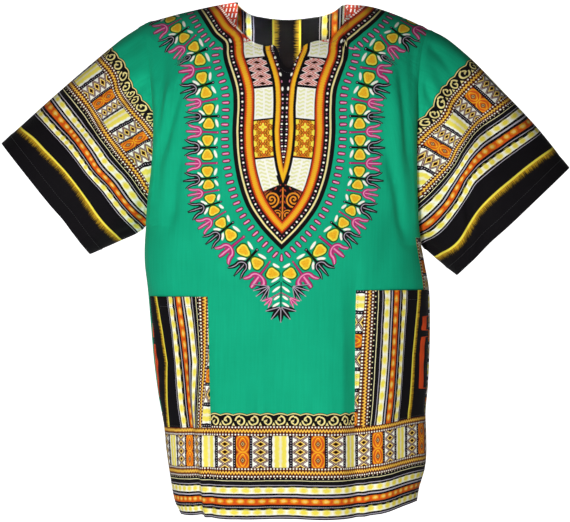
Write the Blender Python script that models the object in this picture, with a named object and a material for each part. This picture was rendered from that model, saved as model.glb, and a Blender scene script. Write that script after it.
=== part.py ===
"""Dashiki shirt, hollow as it is when worn: the cut and sewn pieces as thin closed walls.

Metres, +Z up. The front faces -Y and +X is on the right when the front is looked at. The
origin lies between the shoulders, level with the neck, where the wearer carries the shirt.
Every piece is a grid of points on the cloth's outer face, given a wall on its inner side.
Left and right are as seen from the front.
"""

import bpy
import numpy as np

# ---------------------------------------------------------------- driving dimensions
WALL = 0.0020                # body and sleeve cloth
PATCH_WALL = 0.0015          # pockets and the neck facing
SEAM_GAP = 0.0003            # between pieces that are sewn together
BODY_HALF = 0.200            # nominal half width that the columns are counted in
ROUNDNESS = 2.4              # power of the body's section: 2 is an ellipse, more is squarer
SHOULDER_DROP = 0.130        # from the shoulder ridge down to the full depth of the chest
SHOULDER_POWER = 1.7         # roundness of the shoulder
ARMHOLE_DEPTH = 0.080        # half depth of the armhole, front to back
ARMHOLE_POWER = 1.6          # how soon the armhole narrows towards the underarm
ARMHOLE_ROUND = 0.555        # how round its lowest point is
CREASE_FROM = 0.05           # share of the armhole where the fold beside the sleeve starts
CREASE_FULL = 0.45           # share of the armhole where it is full
BESIDE_POWER = 8             # how closely the underarm's hollow keeps to the side
UNDERARM_Z = -0.329          # level of the underarms at the middle of the body
UNDERARM_TILT = -0.070       # how much lower the right underarm is, for each metre across
POCKET_TOP_Z = -0.4195
POCKET_LOW_Z = -0.6090
POCKET_RISE = 0.0095            # the right pocket's mouth lies higher than the left one's
HEM_Z = -0.7405
SLIT_TOP_Z = -0.690          # side slits run from here to the hem
SLIT_OPEN = 0.010            # how far each side of a slit stands from the side line at the hem
CUFF_SLANT = 0.0035          # how far the cuff's front and back edges draw in to the body
SLEEVE_MERGE = 0.50          # share of the sleeve's length that the armhole's outline lasts
PROBE = 0.0005               # step for slopes
LEFT, RIGHT = -1, 1


def table(columns, *rows):
    """A short table with named columns."""
    return dict(zip(columns.split(), np.array(rows, float).T))


# Half widths to the side lines, and depths before and behind them, down the body.
BODY = table(
    "z        left    right   front   back",
    (-0.750, 0.1550, 0.1910, 0.1160, 0.1100),
    (-0.720, 0.1690, 0.1965, 0.1170, 0.1100),
    (-0.690, 0.1755, 0.2055, 0.1170, 0.1100),
    (-0.640, 0.1830, 0.2075, 0.1160, 0.1090),
    (-0.610, 0.1860, 0.2065, 0.1150, 0.1080),
    (-0.564, 0.1945, 0.2100, 0.1150, 0.1060),
    (-0.520, 0.2005, 0.2120, 0.1160, 0.1040),
    (-0.458, 0.2060, 0.2130, 0.1180, 0.1020),
    (-0.408, 0.2105, 0.2115, 0.1200, 0.1010),
    (-0.368, 0.2150, 0.2045, 0.1220, 0.1010),
    (-0.320, 0.2135, 0.1955, 0.1240, 0.1040),
    (-0.276, 0.2085, 0.1920, 0.1260, 0.1080),
    (-0.220, 0.2010, 0.1900, 0.1270, 0.1120),
    (-0.150, 0.1985, 0.1900, 0.1260, 0.1140),
    (-0.100, 0.2020, 0.1915, 0.1240, 0.1120),
    (-0.050, 0.2085, 0.1990, 0.1200, 0.1080),
    (-0.012, 0.2145, 0.2105, 0.1160, 0.1040),
    (0.030, 0.2150, 0.2120, 0.1120, 0.1000),
)

# The shoulder line, over the neck as well, where no cloth reaches it.
SHOULDER = table(
    "x        z",
    (-0.2145, -0.0120),
    (-0.1700, 0.0005),
    (-0.1320, 0.0095),
    (-0.0720, 0.0205),
    (0.0060, 0.0220),
    (0.0835, 0.0165),
    (0.1185, 0.0140),
    (0.1700, -0.0022),
    (0.2105, -0.0205),
)

# The front neckline: upright sides down to a scoop, with a short notch at its middle.
NECK_LEFT, NECK_RIGHT = -0.0755, 0.0828
FRONT_NECK = table(
    "x        z",
    (NECK_LEFT, -0.0246),
    (-0.0614, -0.0405),
    (-0.0511, -0.0500),
    (-0.0321, -0.0568),
    (-0.0147, -0.0637),
    (-0.0103, -0.0789),
    (-0.0060, -0.0858),
    (0.0086, -0.0840),
    (0.0129, -0.0745),
    (0.0217, -0.0579),
    (0.0333, -0.0510),
    (0.0538, -0.0463),
    (0.0626, -0.0438),
    (0.0700, -0.0360),
    (NECK_RIGHT, -0.0161),
)
BACK_NECK = table(
    "x        z",
    (NECK_LEFT, 0.0200),
    (-0.0640, 0.0115),
    (-0.0520, 0.0060),
    (-0.0350, 0.0030),
    (0.0000, 0.0000),
    (0.0350, 0.0020),
    (0.0600, 0.0060),
    (0.0730, 0.0105),
    (NECK_RIGHT, 0.0165),
)
NECK_REACH = 0.050           # how far beside the neck its rows follow the scoop's corner

# How far the cloth is lifted at its sides, down the body: the hem swings up on the right.
LIFT = table(
    "z        left    right",
    (-0.7405, -0.0045, 0.0170),
    (-0.6840, -0.0040, 0.0150),
    (-0.6200, -0.0040, 0.0130),
    (-0.5200, -0.0020, 0.0065),
    (-0.4200, 0.0000, 0.0000),
    (-0.3000, 0.0000, 0.0000),
)
LIFT_FROM = 0.085            # distance from the middle where the lift begins

# The largest folds: ridges stand out and troughs (minus) lie in, each from top to low end.
FRONT_FOLDS = table(
    "x_top    z_top    x_low    z_low   width   depth",
    (-0.1620, -0.0600, -0.1700, -0.3000, 0.0170, 0.0050),
    (-0.1500, -0.3300, -0.1280, -0.9000, 0.0240, -0.0060),
    (-0.0880, -0.4200, -0.0700, -0.9500, 0.0300, 0.0050),
    (-0.0150, -0.4300, -0.0100, -0.9500, 0.0300, -0.0060),
    (0.0550, -0.3600, 0.0560, -0.9500, 0.0260, 0.0060),
    (0.0960, -0.3300, 0.1020, -0.9000, 0.0170, -0.0060),
    (0.1430, -0.3700, 0.1380, -0.9000, 0.0220, 0.0060),
    (0.1560, -0.0700, 0.1620, -0.3300, 0.0170, 0.0045),
)
BACK_FOLDS = table(
    "x_top    z_top    x_low    z_low   width   depth",
    (-0.1600, -0.0700, -0.1640, -0.3200, 0.0180, 0.0050),
    (-0.1400, -0.3000, -0.1250, -0.9000, 0.0240, -0.0060),
    (-0.0850, -0.2600, -0.0900, -0.9500, 0.0280, 0.0060),
    (-0.0300, -0.3400, -0.0360, -0.9500, 0.0260, -0.0060),
    (0.0280, -0.2800, 0.0260, -0.9500, 0.0280, 0.0060),
    (0.0850, -0.3200, 0.0880, -0.9500, 0.0240, -0.0065),
    (0.1360, -0.2800, 0.1400, -0.9500, 0.0240, 0.0060),
    (0.1580, -0.0800, 0.1600, -0.3300, 0.0180, 0.0050),
    (0.1900, -0.5900, 0.1930, -0.7900, 0.0160, 0.0090),
)

# Each sleeve from the armhole (0) to the cuff (1): its upper and lower edge and half depth.
SLEEVE_LEFT = table(
    "along   top_x    top_z    low_x    low_z    depth",
    (0.00, -0.2145, -0.0120, -0.2138, -0.3150, 0.0640),
    (0.10, -0.2415, -0.0290, -0.2195, -0.3200, 0.0700),
    (0.25, -0.2640, -0.0465, -0.2280, -0.3265, 0.0760),
    (0.50, -0.3240, -0.0975, -0.2500, -0.3365, 0.0790),
    (0.75, -0.3765, -0.1440, -0.2735, -0.3470, 0.0760),
    (1.00, -0.4290, -0.1915, -0.2970, -0.3570, 0.0700),
)
SLEEVE_RIGHT = table(
    "along   top_x    top_z    low_x    low_z    depth",
    (0.00, 0.2105, -0.0205, 0.1985, -0.3430, 0.0640),
    (0.10, 0.2330, -0.0305, 0.2040, -0.3480, 0.0700),
    (0.25, 0.2655, -0.0560, 0.2120, -0.3550, 0.0760),
    (0.50, 0.3210, -0.1125, 0.2255, -0.3665, 0.0790),
    (0.75, 0.3735, -0.1680, 0.2395, -0.3775, 0.0760),
    (1.00, 0.4215, -0.2280, 0.2535, -0.3885, 0.0700),
)

# Folds of the sleeves, along the arm: turn is round the sleeve, from the top by the front.
SLEEVE_FOLDS = table(
    "turn     from    to      width   depth",
    (58.0, 0.00, 0.70, 15.0, -0.0060),
    (84.0, 0.05, 0.95, 15.0, 0.0050),
    (116.0, 0.10, 1.30, 13.0, -0.0065),
    (142.0, 0.00, 0.90, 12.0, 0.0045),
    (235.0, 0.05, 1.20, 16.0, -0.0060),
    (270.0, 0.10, 1.00, 17.0, 0.0055),
    (310.0, 0.00, 0.70, 15.0, -0.0050),
)

# Columns across a panel: each stop and the number of cells that lead to it.
FRONT_COLUMNS = table(
    "x        cells",
    (-0.2000, 0), (-0.1985, 1), (-0.1950, 1), (-0.1890, 1), (-0.1800, 1),
    (-0.1130, 5), (NECK_LEFT, 3), (-0.0321, 4), (-0.0147, 2), (-0.0103, 1), (-0.0060, 1), (0.0086, 2),
    (0.0129, 1), (0.0217, 1), (0.0333, 1), (0.0626, 3), (NECK_RIGHT, 2),
    (0.1000, 1), (0.1800, 6), (0.1890, 1), (0.1950, 1), (0.1985, 1), (0.2000, 1),
)
BACK_COLUMNS = table(
    "x        cells",
    (-0.2000, 0), (-0.1980, 1), (-0.1920, 1), (-0.1800, 1), (NECK_LEFT, 6),
    (-0.0520, 2), (0.0520, 6), (NECK_RIGHT, 2), (0.1800, 6), (0.1920, 1),
    (0.1980, 1), (0.2000, 1),
)
POCKET_LEFT_X = (-0.1950, -0.1130)       # outer and inner column of each pocket
POCKET_RIGHT_X = (0.1000, 0.1950)
FRONT_ROWS = (18, 4, 9, 7)               # cells to the underarm, pocket top, pocket low, hem
BACK_ROWS = (14, 3, 7, 6)
SCOOP_ROWS = 5                           # front rows beside the scoop's upright sides
FACING_ROWS = 5                          # the neck facing reaches down this many back rows
SLEEVE_RINGS = 9

COLOURS = {
    "front_panel": (0.010, 0.350, 0.155),
    "back_panel": (0.010, 0.320, 0.140),
    "sleeve_left": (0.020, 0.018, 0.022),
    "sleeve_right": (0.020, 0.018, 0.022),
    "pocket_left": (0.780, 0.520, 0.060),
    "pocket_right": (0.780, 0.520, 0.060),
    "back_neck_facing": (0.620, 0.150, 0.025),
}


# ---------------------------------------------------------------- curves and easing
def smooth(at, knots, values):
    """Read a table's column at any place, on a smooth curve through its rows."""
    slopes = np.gradient(values, knots)
    low = np.clip(np.searchsorted(knots, at, side="right") - 1, 0, len(knots) - 2)
    step = knots[low + 1] - knots[low]
    t = np.clip((at - knots[low]) / step, 0.0, 1.0)
    rise = 3 * t**2 - 2 * t**3
    bend = step * (t * (1 - t) ** 2 * slopes[low] - t**2 * (1 - t) * slopes[low + 1])
    return values[low] * (1 - rise) + values[low + 1] * rise + bend


def ease(value, start, end):
    """0 before start, 1 after end, and a soft step between them."""
    t = np.clip((value - start) / (end - start), 0.0, 1.0)
    return t * t * (3 - 2 * t)


def by_side(x, left, right):
    """Take the left value where x is on the left, and the right value elsewhere."""
    return np.where(x < 0, left, right)


# ---------------------------------------------------------------- the worn body
def half_width(x, z):
    return by_side(x, smooth(z, BODY["z"], BODY["left"]), smooth(z, BODY["z"], BODY["right"]))


def underarm(x):
    return UNDERARM_Z + UNDERARM_TILT * x


def armhole_share(x, z):
    """0 at the shoulder point, 1 at the underarm and below it."""
    top = by_side(x, SHOULDER["z"][0], SHOULDER["z"][-1])
    end = by_side(x, SLEEVE_LEFT["low_z"][0], SLEEVE_RIGHT["low_z"][0])
    return np.clip((top - z) / (top - end), 0.0, 1.0)


def body_depth(x, z, column):
    """How far the cloth lies before (column front) or behind (back) the shoulder line."""
    full = smooth(z, BODY["z"], BODY[column])
    share = armhole_share(x, z)
    seam = ARMHOLE_DEPTH * (1 - share**ARMHOLE_POWER) ** ARMHOLE_ROUND
    reach = np.clip(np.abs(x) / half_width(x, z), 0.0, 1.0)
    steep = ease(share, CREASE_FROM, CREASE_FULL)
    power = (1 - steep) + steep / ROUNDNESS
    front_share = (1 - reach**ROUNDNESS) ** power
    beside = 1 - ease(share, 0.4, 1.0) * (1 - reach**BESIDE_POWER)
    section = full * front_share + seam * (1 - front_share) * beside
    drop = np.clip((smooth(x, SHOULDER["x"], SHOULDER["z"]) - z) / SHOULDER_DROP, 0.0, 1.0)
    return section * (1 - (1 - drop) ** SHOULDER_POWER) ** (1 / SHOULDER_POWER)


def upper_edge(x, neck):
    """The panel's upper edge: its neckline between the neck points, else the shoulder."""
    inside = (x > NECK_LEFT - 1e-6) & (x < NECK_RIGHT + 1e-6)
    return np.where(inside, np.interp(x, neck["x"], neck["z"]),
                    smooth(x, SHOULDER["x"], SHOULDER["z"]))


def column_x(nominal, z):
    """Where a column lies at a level: the middle ones run straight, the sides follow."""
    share = np.abs(nominal) / BODY_HALF
    spare = half_width(nominal, z) - BODY_HALF
    return np.sign(nominal) * (np.abs(nominal) + spare * share**3)


def lift(x, z):
    reach = ease(np.abs(x), LIFT_FROM, BODY_HALF)
    return reach * by_side(x, smooth(z, LIFT["z"], LIFT["left"]),
                           smooth(z, LIFT["z"], LIFT["right"]))


def spread(stops):
    """Turn a table of stops into the whole list of columns."""
    places = [stops["x"][:1]]
    for start, end, cells in zip(stops["x"], stops["x"][1:], stops["cells"][1:].astype(int)):
        places.append(np.linspace(start, end, cells + 1)[1:])
    return np.concatenate(places)


def settle(nominal, edge):
    """The level where each column meets an upper edge."""
    level = edge(nominal)
    for _ in range(4):
        level = edge(column_x(nominal, level))
    return level


def panel_levels(nominal, neck, rows, scoop_rows):
    """Each column's levels, from its upper edge by way of the underarm to the hem."""
    to_underarm, to_pocket, to_pocket_low, to_hem = rows
    top = settle(nominal, lambda x: upper_edge(x, neck))
    share = (1 - np.cos(np.pi * np.linspace(0, 1, to_underarm + 1))) / 2
    arm = by_side(nominal, SLEEVE_LEFT["low_z"][0], SLEEVE_RIGHT["low_z"][0])
    beside = ease(np.abs(nominal), 0.75 * BODY_HALF, BODY_HALF)
    low = underarm(nominal) * (1 - beside) + arm * beside
    corner_share = share[scoop_rows]
    even = corner = top + (low - top) * corner_share
    if scoop_rows:
        ridge = settle(nominal, lambda x: smooth(x, SHOULDER["x"], SHOULDER["z"]))
        even = ridge + (low - ridge) * corner_share
        inside = (nominal >= NECK_LEFT - 1e-6) & (nominal <= NECK_RIGHT + 1e-6)
        away = np.maximum(NECK_LEFT - nominal, nominal - NECK_RIGHT)
        near = 1 - ease(away, 0.0, NECK_REACH)
        end = by_side(nominal, neck["z"][0], neck["z"][-1])
        corner = np.where(inside, top, even * (1 - near) + end * near)
        top = np.where(inside, ridge, top)
    mouth = POCKET_TOP_Z + POCKET_RISE * ease(nominal, -0.05, 0.05)
    levels = []
    for part in share:
        if part < corner_share:
            levels.append(top + (corner - top) * (part / corner_share))
        else:
            below = (part - corner_share) / (1 - corner_share)
            levels.append(even + (low - even) * below + (corner - even) * (1 - below) ** 3)
    for start, end, cells in ((low, mouth, to_pocket),
                              (mouth, POCKET_LOW_Z, to_pocket_low),
                              (POCKET_LOW_Z, HEM_Z, to_hem)):
        levels += [start + (end - start) * k / cells for k in range(1, cells + 1)]
    return np.array([level + np.zeros_like(nominal) for level in levels])


def fold_relief(folds, x, z):
    """Height of the folds at a place on a panel, faded out at both ends of each."""
    height = np.zeros_like(x)
    for row in zip(*folds.values()):
        x_top, z_top, x_low, z_low, width, depth = row
        along = (z_top - z) / (z_top - z_low)
        across = x - (x_top + (x_low - x_top) * along)
        fade = ease(along, 0.0, 0.3) * (1 - ease(along, 0.7, 1.0))
        height += depth * fade * np.exp(-((across / width) ** 2))
    return height


def panel_point(nominal, level, side):
    """A place on a panel without its folds: side is -1 for the front, 1 for the back."""
    x = column_x(nominal, level)
    slit = ease(-level, -SLIT_TOP_Z, -HEM_Z) * ease(np.abs(nominal), 0.97 * BODY_HALF, BODY_HALF)
    y = side * (body_depth(x, level, "front" if side < 0 else "back") + SLIT_OPEN * slit)
    return np.stack([x, y, level + lift(x, level)], axis=-1)


def panel_normal(nominal, level, side):
    """The outward direction there, from the slopes across and down the cloth."""
    ahead = np.minimum(nominal + PROBE, BODY_HALF)
    behind = np.maximum(nominal - PROBE, -BODY_HALF)
    across = panel_point(ahead, level, side) - panel_point(behind, level, side)
    down = panel_point(nominal, level - PROBE, side) - panel_point(nominal, level + PROBE, side)
    normal = -side * np.cross(down, across)
    return normal / np.linalg.norm(normal, axis=-1, keepdims=True)


def panel(columns, neck, rows, scoop_rows, folds, side):
    """The outer face of the front (side -1) or back (side 1), and its normals."""
    nominal = spread(columns)
    level = panel_levels(nominal, neck, rows, scoop_rows)
    across = nominal[None, :] + 0 * level
    out = panel_normal(across, level, side)
    calm = 1 - (np.abs(across) / BODY_HALF) ** 10
    calm *= ease(level[0] - level, 0.0, 0.03)
    relief = fold_relief(folds, column_x(across, level), level) * calm
    return nominal, panel_point(across, level, side) + out * relief[:, :, None], out


# ---------------------------------------------------------------- sleeves
def ring_normals(grid):
    """Unit normals of a tube's grid: rows run along it and columns round it."""
    across = np.roll(grid, -1, axis=1) - np.roll(grid, 1, axis=1)
    normal = np.cross(np.gradient(grid, axis=0), across)
    return normal / np.linalg.norm(normal, axis=2, keepdims=True)


def sleeve(edge, front, back, side):
    """A sleeve's rings, from the armhole's own points out to the cuff."""
    count_front, count_back = FRONT_ROWS[0], BACK_ROWS[0]
    column = 0 if side == LEFT else -1
    seam = np.concatenate([front[:count_front + 1, column], back[count_back - 1:0:-1, column]])
    turn = np.concatenate([np.linspace(0, 180, count_front + 1),
                           np.linspace(180, 360, count_back + 1)[1:-1]])
    angle = np.radians(turn)
    drop = (1 - np.cos(angle))[:, None] / 2
    rings = []
    for share in np.linspace(0, 1, SLEEVE_RINGS + 1):
        top_x, top_z, low_x, low_z, depth = (
            smooth(share, edge["along"], edge[name])
            for name in ("top_x", "top_z", "low_x", "low_z", "depth"))
        top, low = np.array([top_x, 0, top_z]), np.array([low_x, 0, low_z])
        middle, half = (top + low) / 2, (top - low) / 2
        axis = np.cross(half, (0, 1, 0))
        axis = -side * axis / np.linalg.norm(axis)
        round_y = -depth * np.sign(np.sin(angle)) * np.abs(np.sin(angle)) ** 0.9
        ring = middle + half * np.cos(angle)[:, None]
        ring[:, 1] += round_y
        ring += axis * (-CUFF_SLANT * share**3 * np.abs(np.sin(angle)))[:, None]
        straight = top + (low - top) * drop
        if share == 0:
            bend = seam - straight
        keep = 1 - ease(share, 0.0, SLEEVE_MERGE)
        rings.append(keep * (straight + bend) + (1 - keep) * ring)
    grid = np.array(rings)
    out = -side * ring_normals(grid)
    along = np.linspace(0, 1, SLEEVE_RINGS + 1)[:, None]
    height = np.zeros(grid.shape[:2])
    for at, start, end, width, depth in zip(*SLEEVE_FOLDS.values()):
        share = (along - start) / (end - start)
        fade = ease(share, 0.0, 0.3) * (1 - ease(share, 0.7, 1.0))
        height += depth * fade * np.exp(-(((turn[None, :] - at) / width) ** 2))
    grid = grid + out * height[:, :, None]
    return grid, -side * ring_normals(grid)


# ---------------------------------------------------------------- walls
def meet(*faces):
    """One inward step for pieces that meet at a seam, so that their walls share it."""
    mean = sum(faces)
    mean = mean / np.linalg.norm(mean, axis=-1, keepdims=True)
    lean = sum(np.sum(mean * face, axis=-1, keepdims=True) for face in faces) / len(faces)
    return -mean * WALL / np.clip(lean, 0.6, 1.0)


def cells_of(rows, columns, closed):
    """Corner numbers of a grid's cells, row by row."""
    for i in range(rows - 1):
        for j in range(columns if closed else columns - 1):
            k = (j + 1) % columns
            yield i * columns + j, (i + 1) * columns + j, (i + 1) * columns + k, i * columns + k


def wall_object(name, outer, inner, closed=False, flip=False, cut=()):
    """A closed wall between two grids of the same size, less the cells that are cut."""
    rows, columns = outer.shape[:2]
    points = np.concatenate([outer.reshape(-1, 3), inner.reshape(-1, 3)])
    shift = rows * columns
    cells = [cell for cell in cells_of(rows, columns, closed) if cell[0] not in cut]
    faces = []
    edges = set()
    for a, b, c, d in cells:
        faces += [(a, b, c), (a, c, d)]
        faces += [(a + shift, c + shift, b + shift), (a + shift, d + shift, c + shift)]
        edges |= {(a, b), (b, c), (c, d), (d, a)}
    for a, b in sorted(edges):
        if (b, a) in edges:
            continue
        # The rim's diagonal starts at its lower outer corner, so walls that meet agree.
        if points[a][2] < points[b][2]:
            faces += [(b, a, b + shift), (a, a + shift, b + shift)]
        else:
            faces += [(b, a, a + shift), (b, a + shift, b + shift)]
    used = sorted({corner for face in faces for corner in face})
    number = {corner: k for k, corner in enumerate(used)}
    order = -1 if flip else 1
    faces = [tuple(number[corner] for corner in face)[::order] for face in faces]
    mesh = bpy.data.meshes.new(name)
    mesh.from_pydata([tuple(points[corner]) for corner in used], [], faces)
    mesh.shade_smooth()
    thing = bpy.data.objects.new(name, mesh)
    bpy.context.scene.collection.objects.link(thing)
    thing.data.materials.append(cloth(name))
    return thing


def scoop_cells(nominal):
    """The cells that the front's neck scoop takes away, by their first corner."""
    return {row * len(nominal) + k for row in range(SCOOP_ROWS) for k, x in enumerate(nominal)
            if NECK_LEFT - 1e-6 < x < NECK_RIGHT - 1e-6}


def cloth(name):
    """Plain cotton in the piece's main colour."""
    material = bpy.data.materials.new(name)
    material.use_nodes = True
    shader = material.node_tree.nodes["Principled BSDF"]
    shader.inputs["Base Color"].default_value = (*COLOURS[name], 1.0)
    shader.inputs["Roughness"].default_value = 0.85
    shader.inputs["Metallic"].default_value = 0.0
    return material


def patch(name, grid, out, rows, columns, near, flip):
    """A piece that lies on a panel: the panel's own points, moved off its face."""
    part, way = grid[rows, columns], out[rows, columns]
    far = near + np.sign(near) * PATCH_WALL
    return wall_object(name, part + way * max(near, far), part + way * min(near, far), flip=flip)


def column_span(nominal, ends):
    """The slice of columns between two nominal places."""
    first, last = (int(np.argmin(np.abs(nominal - end))) for end in ends)
    return slice(first, last + 1)


# ---------------------------------------------------------------- the shirt
def build():
    for old in list(bpy.data.objects):
        bpy.data.objects.remove(old, do_unlink=True)

    front_x, front, front_out = panel(FRONT_COLUMNS, FRONT_NECK, FRONT_ROWS, SCOOP_ROWS,
                                      FRONT_FOLDS, -1)
    back_x, back, back_out = panel(BACK_COLUMNS, BACK_NECK, BACK_ROWS, 0, BACK_FOLDS, 1)
    sleeves = {LEFT: sleeve(SLEEVE_LEFT, front, back, LEFT),
               RIGHT: sleeve(SLEEVE_RIGHT, front, back, RIGHT)}

    front_in, back_in = -WALL * front_out, -WALL * back_out
    sleeve_in = {side: -WALL * out for side, (grid, out) in sleeves.items()}
    arm_front, arm_back = FRONT_ROWS[0], BACK_ROWS[0]
    level = np.array((1.0, 0.0, 1.0))
    for side, column in ((LEFT, 0), (RIGHT, -1)):
        out = sleeves[side][1]
        ring = sleeve_in[side][0]
        ring[1:arm_front] = meet(front_out[1:arm_front, column], out[0, 1:arm_front])
        front_in[1:arm_front, column] = ring[1:arm_front]
        ring[arm_front + 1:] = meet(back_out[arm_back - 1:0:-1, column], out[0, arm_front + 1:])
        back_in[arm_back - 1:0:-1, column] = ring[arm_front + 1:]
        for turn, row_front, row_back in ((0, 0, 0), (arm_front, arm_front, arm_back)):
            step = meet(front_out[row_front, column] * level, back_out[row_back, column] * level,
                        out[0, turn] * level)
            ring[turn] = front_in[row_front, column] = back_in[row_back, column] = step
        sewn_front = front[:, column, 2] > SLIT_TOP_Z
        sewn_front[:arm_front + 1] = False
        sewn_back = back[:, column, 2] > SLIT_TOP_Z
        sewn_back[:arm_back + 1] = False
        for step, sewn in ((front_in, sewn_front), (back_in, sewn_back)):
            step[sewn, column] = (-side * WALL, 0, 0)
    for step, face, nominal in ((front_in, front_out, front_x), (back_in, back_out, back_x)):
        ridge = (nominal < NECK_LEFT + 1e-6) | (nominal > NECK_RIGHT - 1e-6)
        ridge[0] = ridge[-1] = False
        step[0, ridge] = meet(face[0, ridge] * level)

    # The two panels stand half a seam gap each side of y = 0, and the sleeves a gap outside.
    apart = np.array((0, SEAM_GAP / 2, 0))
    front, back = front - apart, back + apart
    wall_object("front_panel", front, front + front_in, cut=scoop_cells(front_x))
    wall_object("back_panel", back, back + back_in, flip=True)
    for side, name in ((LEFT, "sleeve_left"), (RIGHT, "sleeve_right")):
        grid = sleeves[side][0] + np.array((side * 1.5 * SEAM_GAP, 0, 0))
        wall_object(name, grid, grid + sleeve_in[side], closed=True, flip=side == RIGHT)

    pocket_rows = slice(FRONT_ROWS[0] + FRONT_ROWS[1], sum(FRONT_ROWS[:3]) + 1)
    for name, ends in (("pocket_left", POCKET_LEFT_X), ("pocket_right", POCKET_RIGHT_X)):
        patch(name, front, front_out, pocket_rows, column_span(front_x, ends), SEAM_GAP, False)
    patch("back_neck_facing", back, back_out, slice(0, FACING_ROWS + 1),
          column_span(back_x, (NECK_LEFT, NECK_RIGHT)), -(WALL + SEAM_GAP), True)


build()
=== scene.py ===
"""Dashiki shirt: cloth, print and sewing, built over the shirt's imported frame.

Laid out as an add-on: one operator for each cut piece or kind of sewing and one for the
studio. Metres, +Z up, front towards -Y, left and right as seen from the front. The print is
laid out in millimetres of flat cloth and drawn by formulas.
"""

from functools import reduce

import bpy
import numpy as np
from bpy.props import FloatProperty, FloatVectorProperty, PointerProperty
from bpy.types import Operator, Panel, PropertyGroup
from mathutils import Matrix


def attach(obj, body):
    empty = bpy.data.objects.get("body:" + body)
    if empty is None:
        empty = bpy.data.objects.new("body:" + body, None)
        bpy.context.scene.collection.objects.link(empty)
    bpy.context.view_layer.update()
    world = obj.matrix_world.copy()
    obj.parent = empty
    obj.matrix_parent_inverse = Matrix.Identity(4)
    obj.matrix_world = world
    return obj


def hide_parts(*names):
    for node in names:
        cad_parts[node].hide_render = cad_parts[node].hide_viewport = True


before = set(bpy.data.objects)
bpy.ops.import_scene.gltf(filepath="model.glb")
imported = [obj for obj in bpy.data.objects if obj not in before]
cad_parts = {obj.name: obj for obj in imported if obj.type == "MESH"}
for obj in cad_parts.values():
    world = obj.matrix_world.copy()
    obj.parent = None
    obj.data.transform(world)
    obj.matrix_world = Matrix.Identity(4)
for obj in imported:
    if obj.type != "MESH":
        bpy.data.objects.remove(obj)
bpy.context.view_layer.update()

bl_info = {
    "name": "Dashiki Shirt",
    "version": (1, 0, 0),
    "blender": (4, 5, 0),
    "location": "View3D > Sidebar > Shirt",
    "description": "Builds a hollow dashiki shirt in printed cotton with its hems and stitches",
    "category": "Object",
}

BODY_OF_ALL = "root"
LEFT, RIGHT = -1, 1
FRONT, BACK = -1, 1
MM = 1000.0
TENTHS = 10000.0                  # for tables in tenths of a millimetre

# ---------------------------------------------------------------- the shirt's own shape
BODY_HALF = 0.200
ROUNDNESS = 2.4
SHOULDER_DROP, SHOULDER_POWER = 0.130, 1.7
ARMHOLE_DEPTH, ARMHOLE_POWER, ARMHOLE_ROUND = 0.080, 1.6, 0.555
CREASE_FROM, CREASE_FULL = 0.05, 0.45
BESIDE_FROM, BESIDE_POWER = 0.4, 8
UNDERARM_Z, UNDERARM_TILT = -0.329, -0.070
SIDE_FROM, SLIT_FROM = 0.75 * BODY_HALF, 0.97 * BODY_HALF
POCKET_TOP_Z, POCKET_LOW_Z, POCKET_RISE = -0.4195, -0.6090, 0.0095
HEM_Z, SLIT_TOP_Z, SLIT_OPEN = -0.7405, -0.690, 0.010
CUFF_SLANT, SLEEVE_ROUND, SLEEVE_MERGE = 0.0035, 0.9, 0.50
NECK_LEFT, NECK_RIGHT, NECK_REACH = -0.0755, 0.0828, 0.050
LIFT_FROM = 0.085
FOLD_ENDS = 0.3                   # share of a fold over which it fades at each end
TOP_CALM = 0.03                   # no folds at the panel's upper edge
CALM_POWER = 10
PROBE, NEAR = 0.0005, 1e-6


def table(columns, numbers, unit=1.0):
    """A table from the names of its columns and the numbers of its rows."""
    names = columns.split()
    rows = np.array(numbers.split(), float).reshape(-1, len(names)) / unit
    return dict(zip(names, rows.T))


BODY = table("z left right front back", """
-7500 1550 1910 1160 1100
-7200 1690 1965 1170 1100
-6900 1755 2055 1170 1100
-6400 1830 2075 1160 1090
-6100 1860 2065 1150 1080
-5640 1945 2100 1150 1060
-5200 2005 2120 1160 1040
-4580 2060 2130 1180 1020
-4080 2105 2115 1200 1010
-3680 2150 2045 1220 1010
-3200 2135 1955 1240 1040
-2760 2085 1920 1260 1080
-2200 2010 1900 1270 1120
-1500 1985 1900 1260 1140
-1000 2020 1915 1240 1120
-500 2085 1990 1200 1080
-120 2145 2105 1160 1040
300 2150 2120 1120 1000""", TENTHS)
SHOULDER = table("x z", """
-2145 -120  -1700 5  -1320 95  -720 205  60 220  835 165  1185 140  1700 -22  2105 -205""", TENTHS)
FRONT_NECK = table("x z", """
-755 -246  -614 -405  -511 -500  -321 -568  -147 -637  -103 -789  -60 -858  86 -840  129 -745
217 -579  333 -510  538 -463  626 -438  700 -360  828 -161""", TENTHS)
BACK_NECK = table("x z", """
-755 200  -640 115  -520 60  -350 30  0 0  350 20  600 60  730 105  828 165""", TENTHS)
LIFT = table("z left right", """
-7405 -45 170
-6840 -40 150
-6200 -40 130
-5200 -20 65
-4200 0 0
-3000 0 0""", TENTHS)
SLEEVE_LEFT = table("along top_x top_z low_x low_z depth", """
0 -2145 -120 -2138 -3150 640
1000 -2415 -290 -2195 -3200 700
2500 -2640 -465 -2280 -3265 760
5000 -3240 -975 -2500 -3365 790
7500 -3765 -1440 -2735 -3470 760
10000 -4290 -1915 -2970 -3570 700""", TENTHS)
SLEEVE_RIGHT = table("along top_x top_z low_x low_z depth", """
0 2105 -205 1985 -3430 640
1000 2330 -305 2040 -3480 700
2500 2655 -560 2120 -3550 760
5000 3210 -1125 2255 -3665 790
7500 3735 -1680 2395 -3775 760
10000 4215 -2280 2535 -3885 700""", TENTHS)

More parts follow.
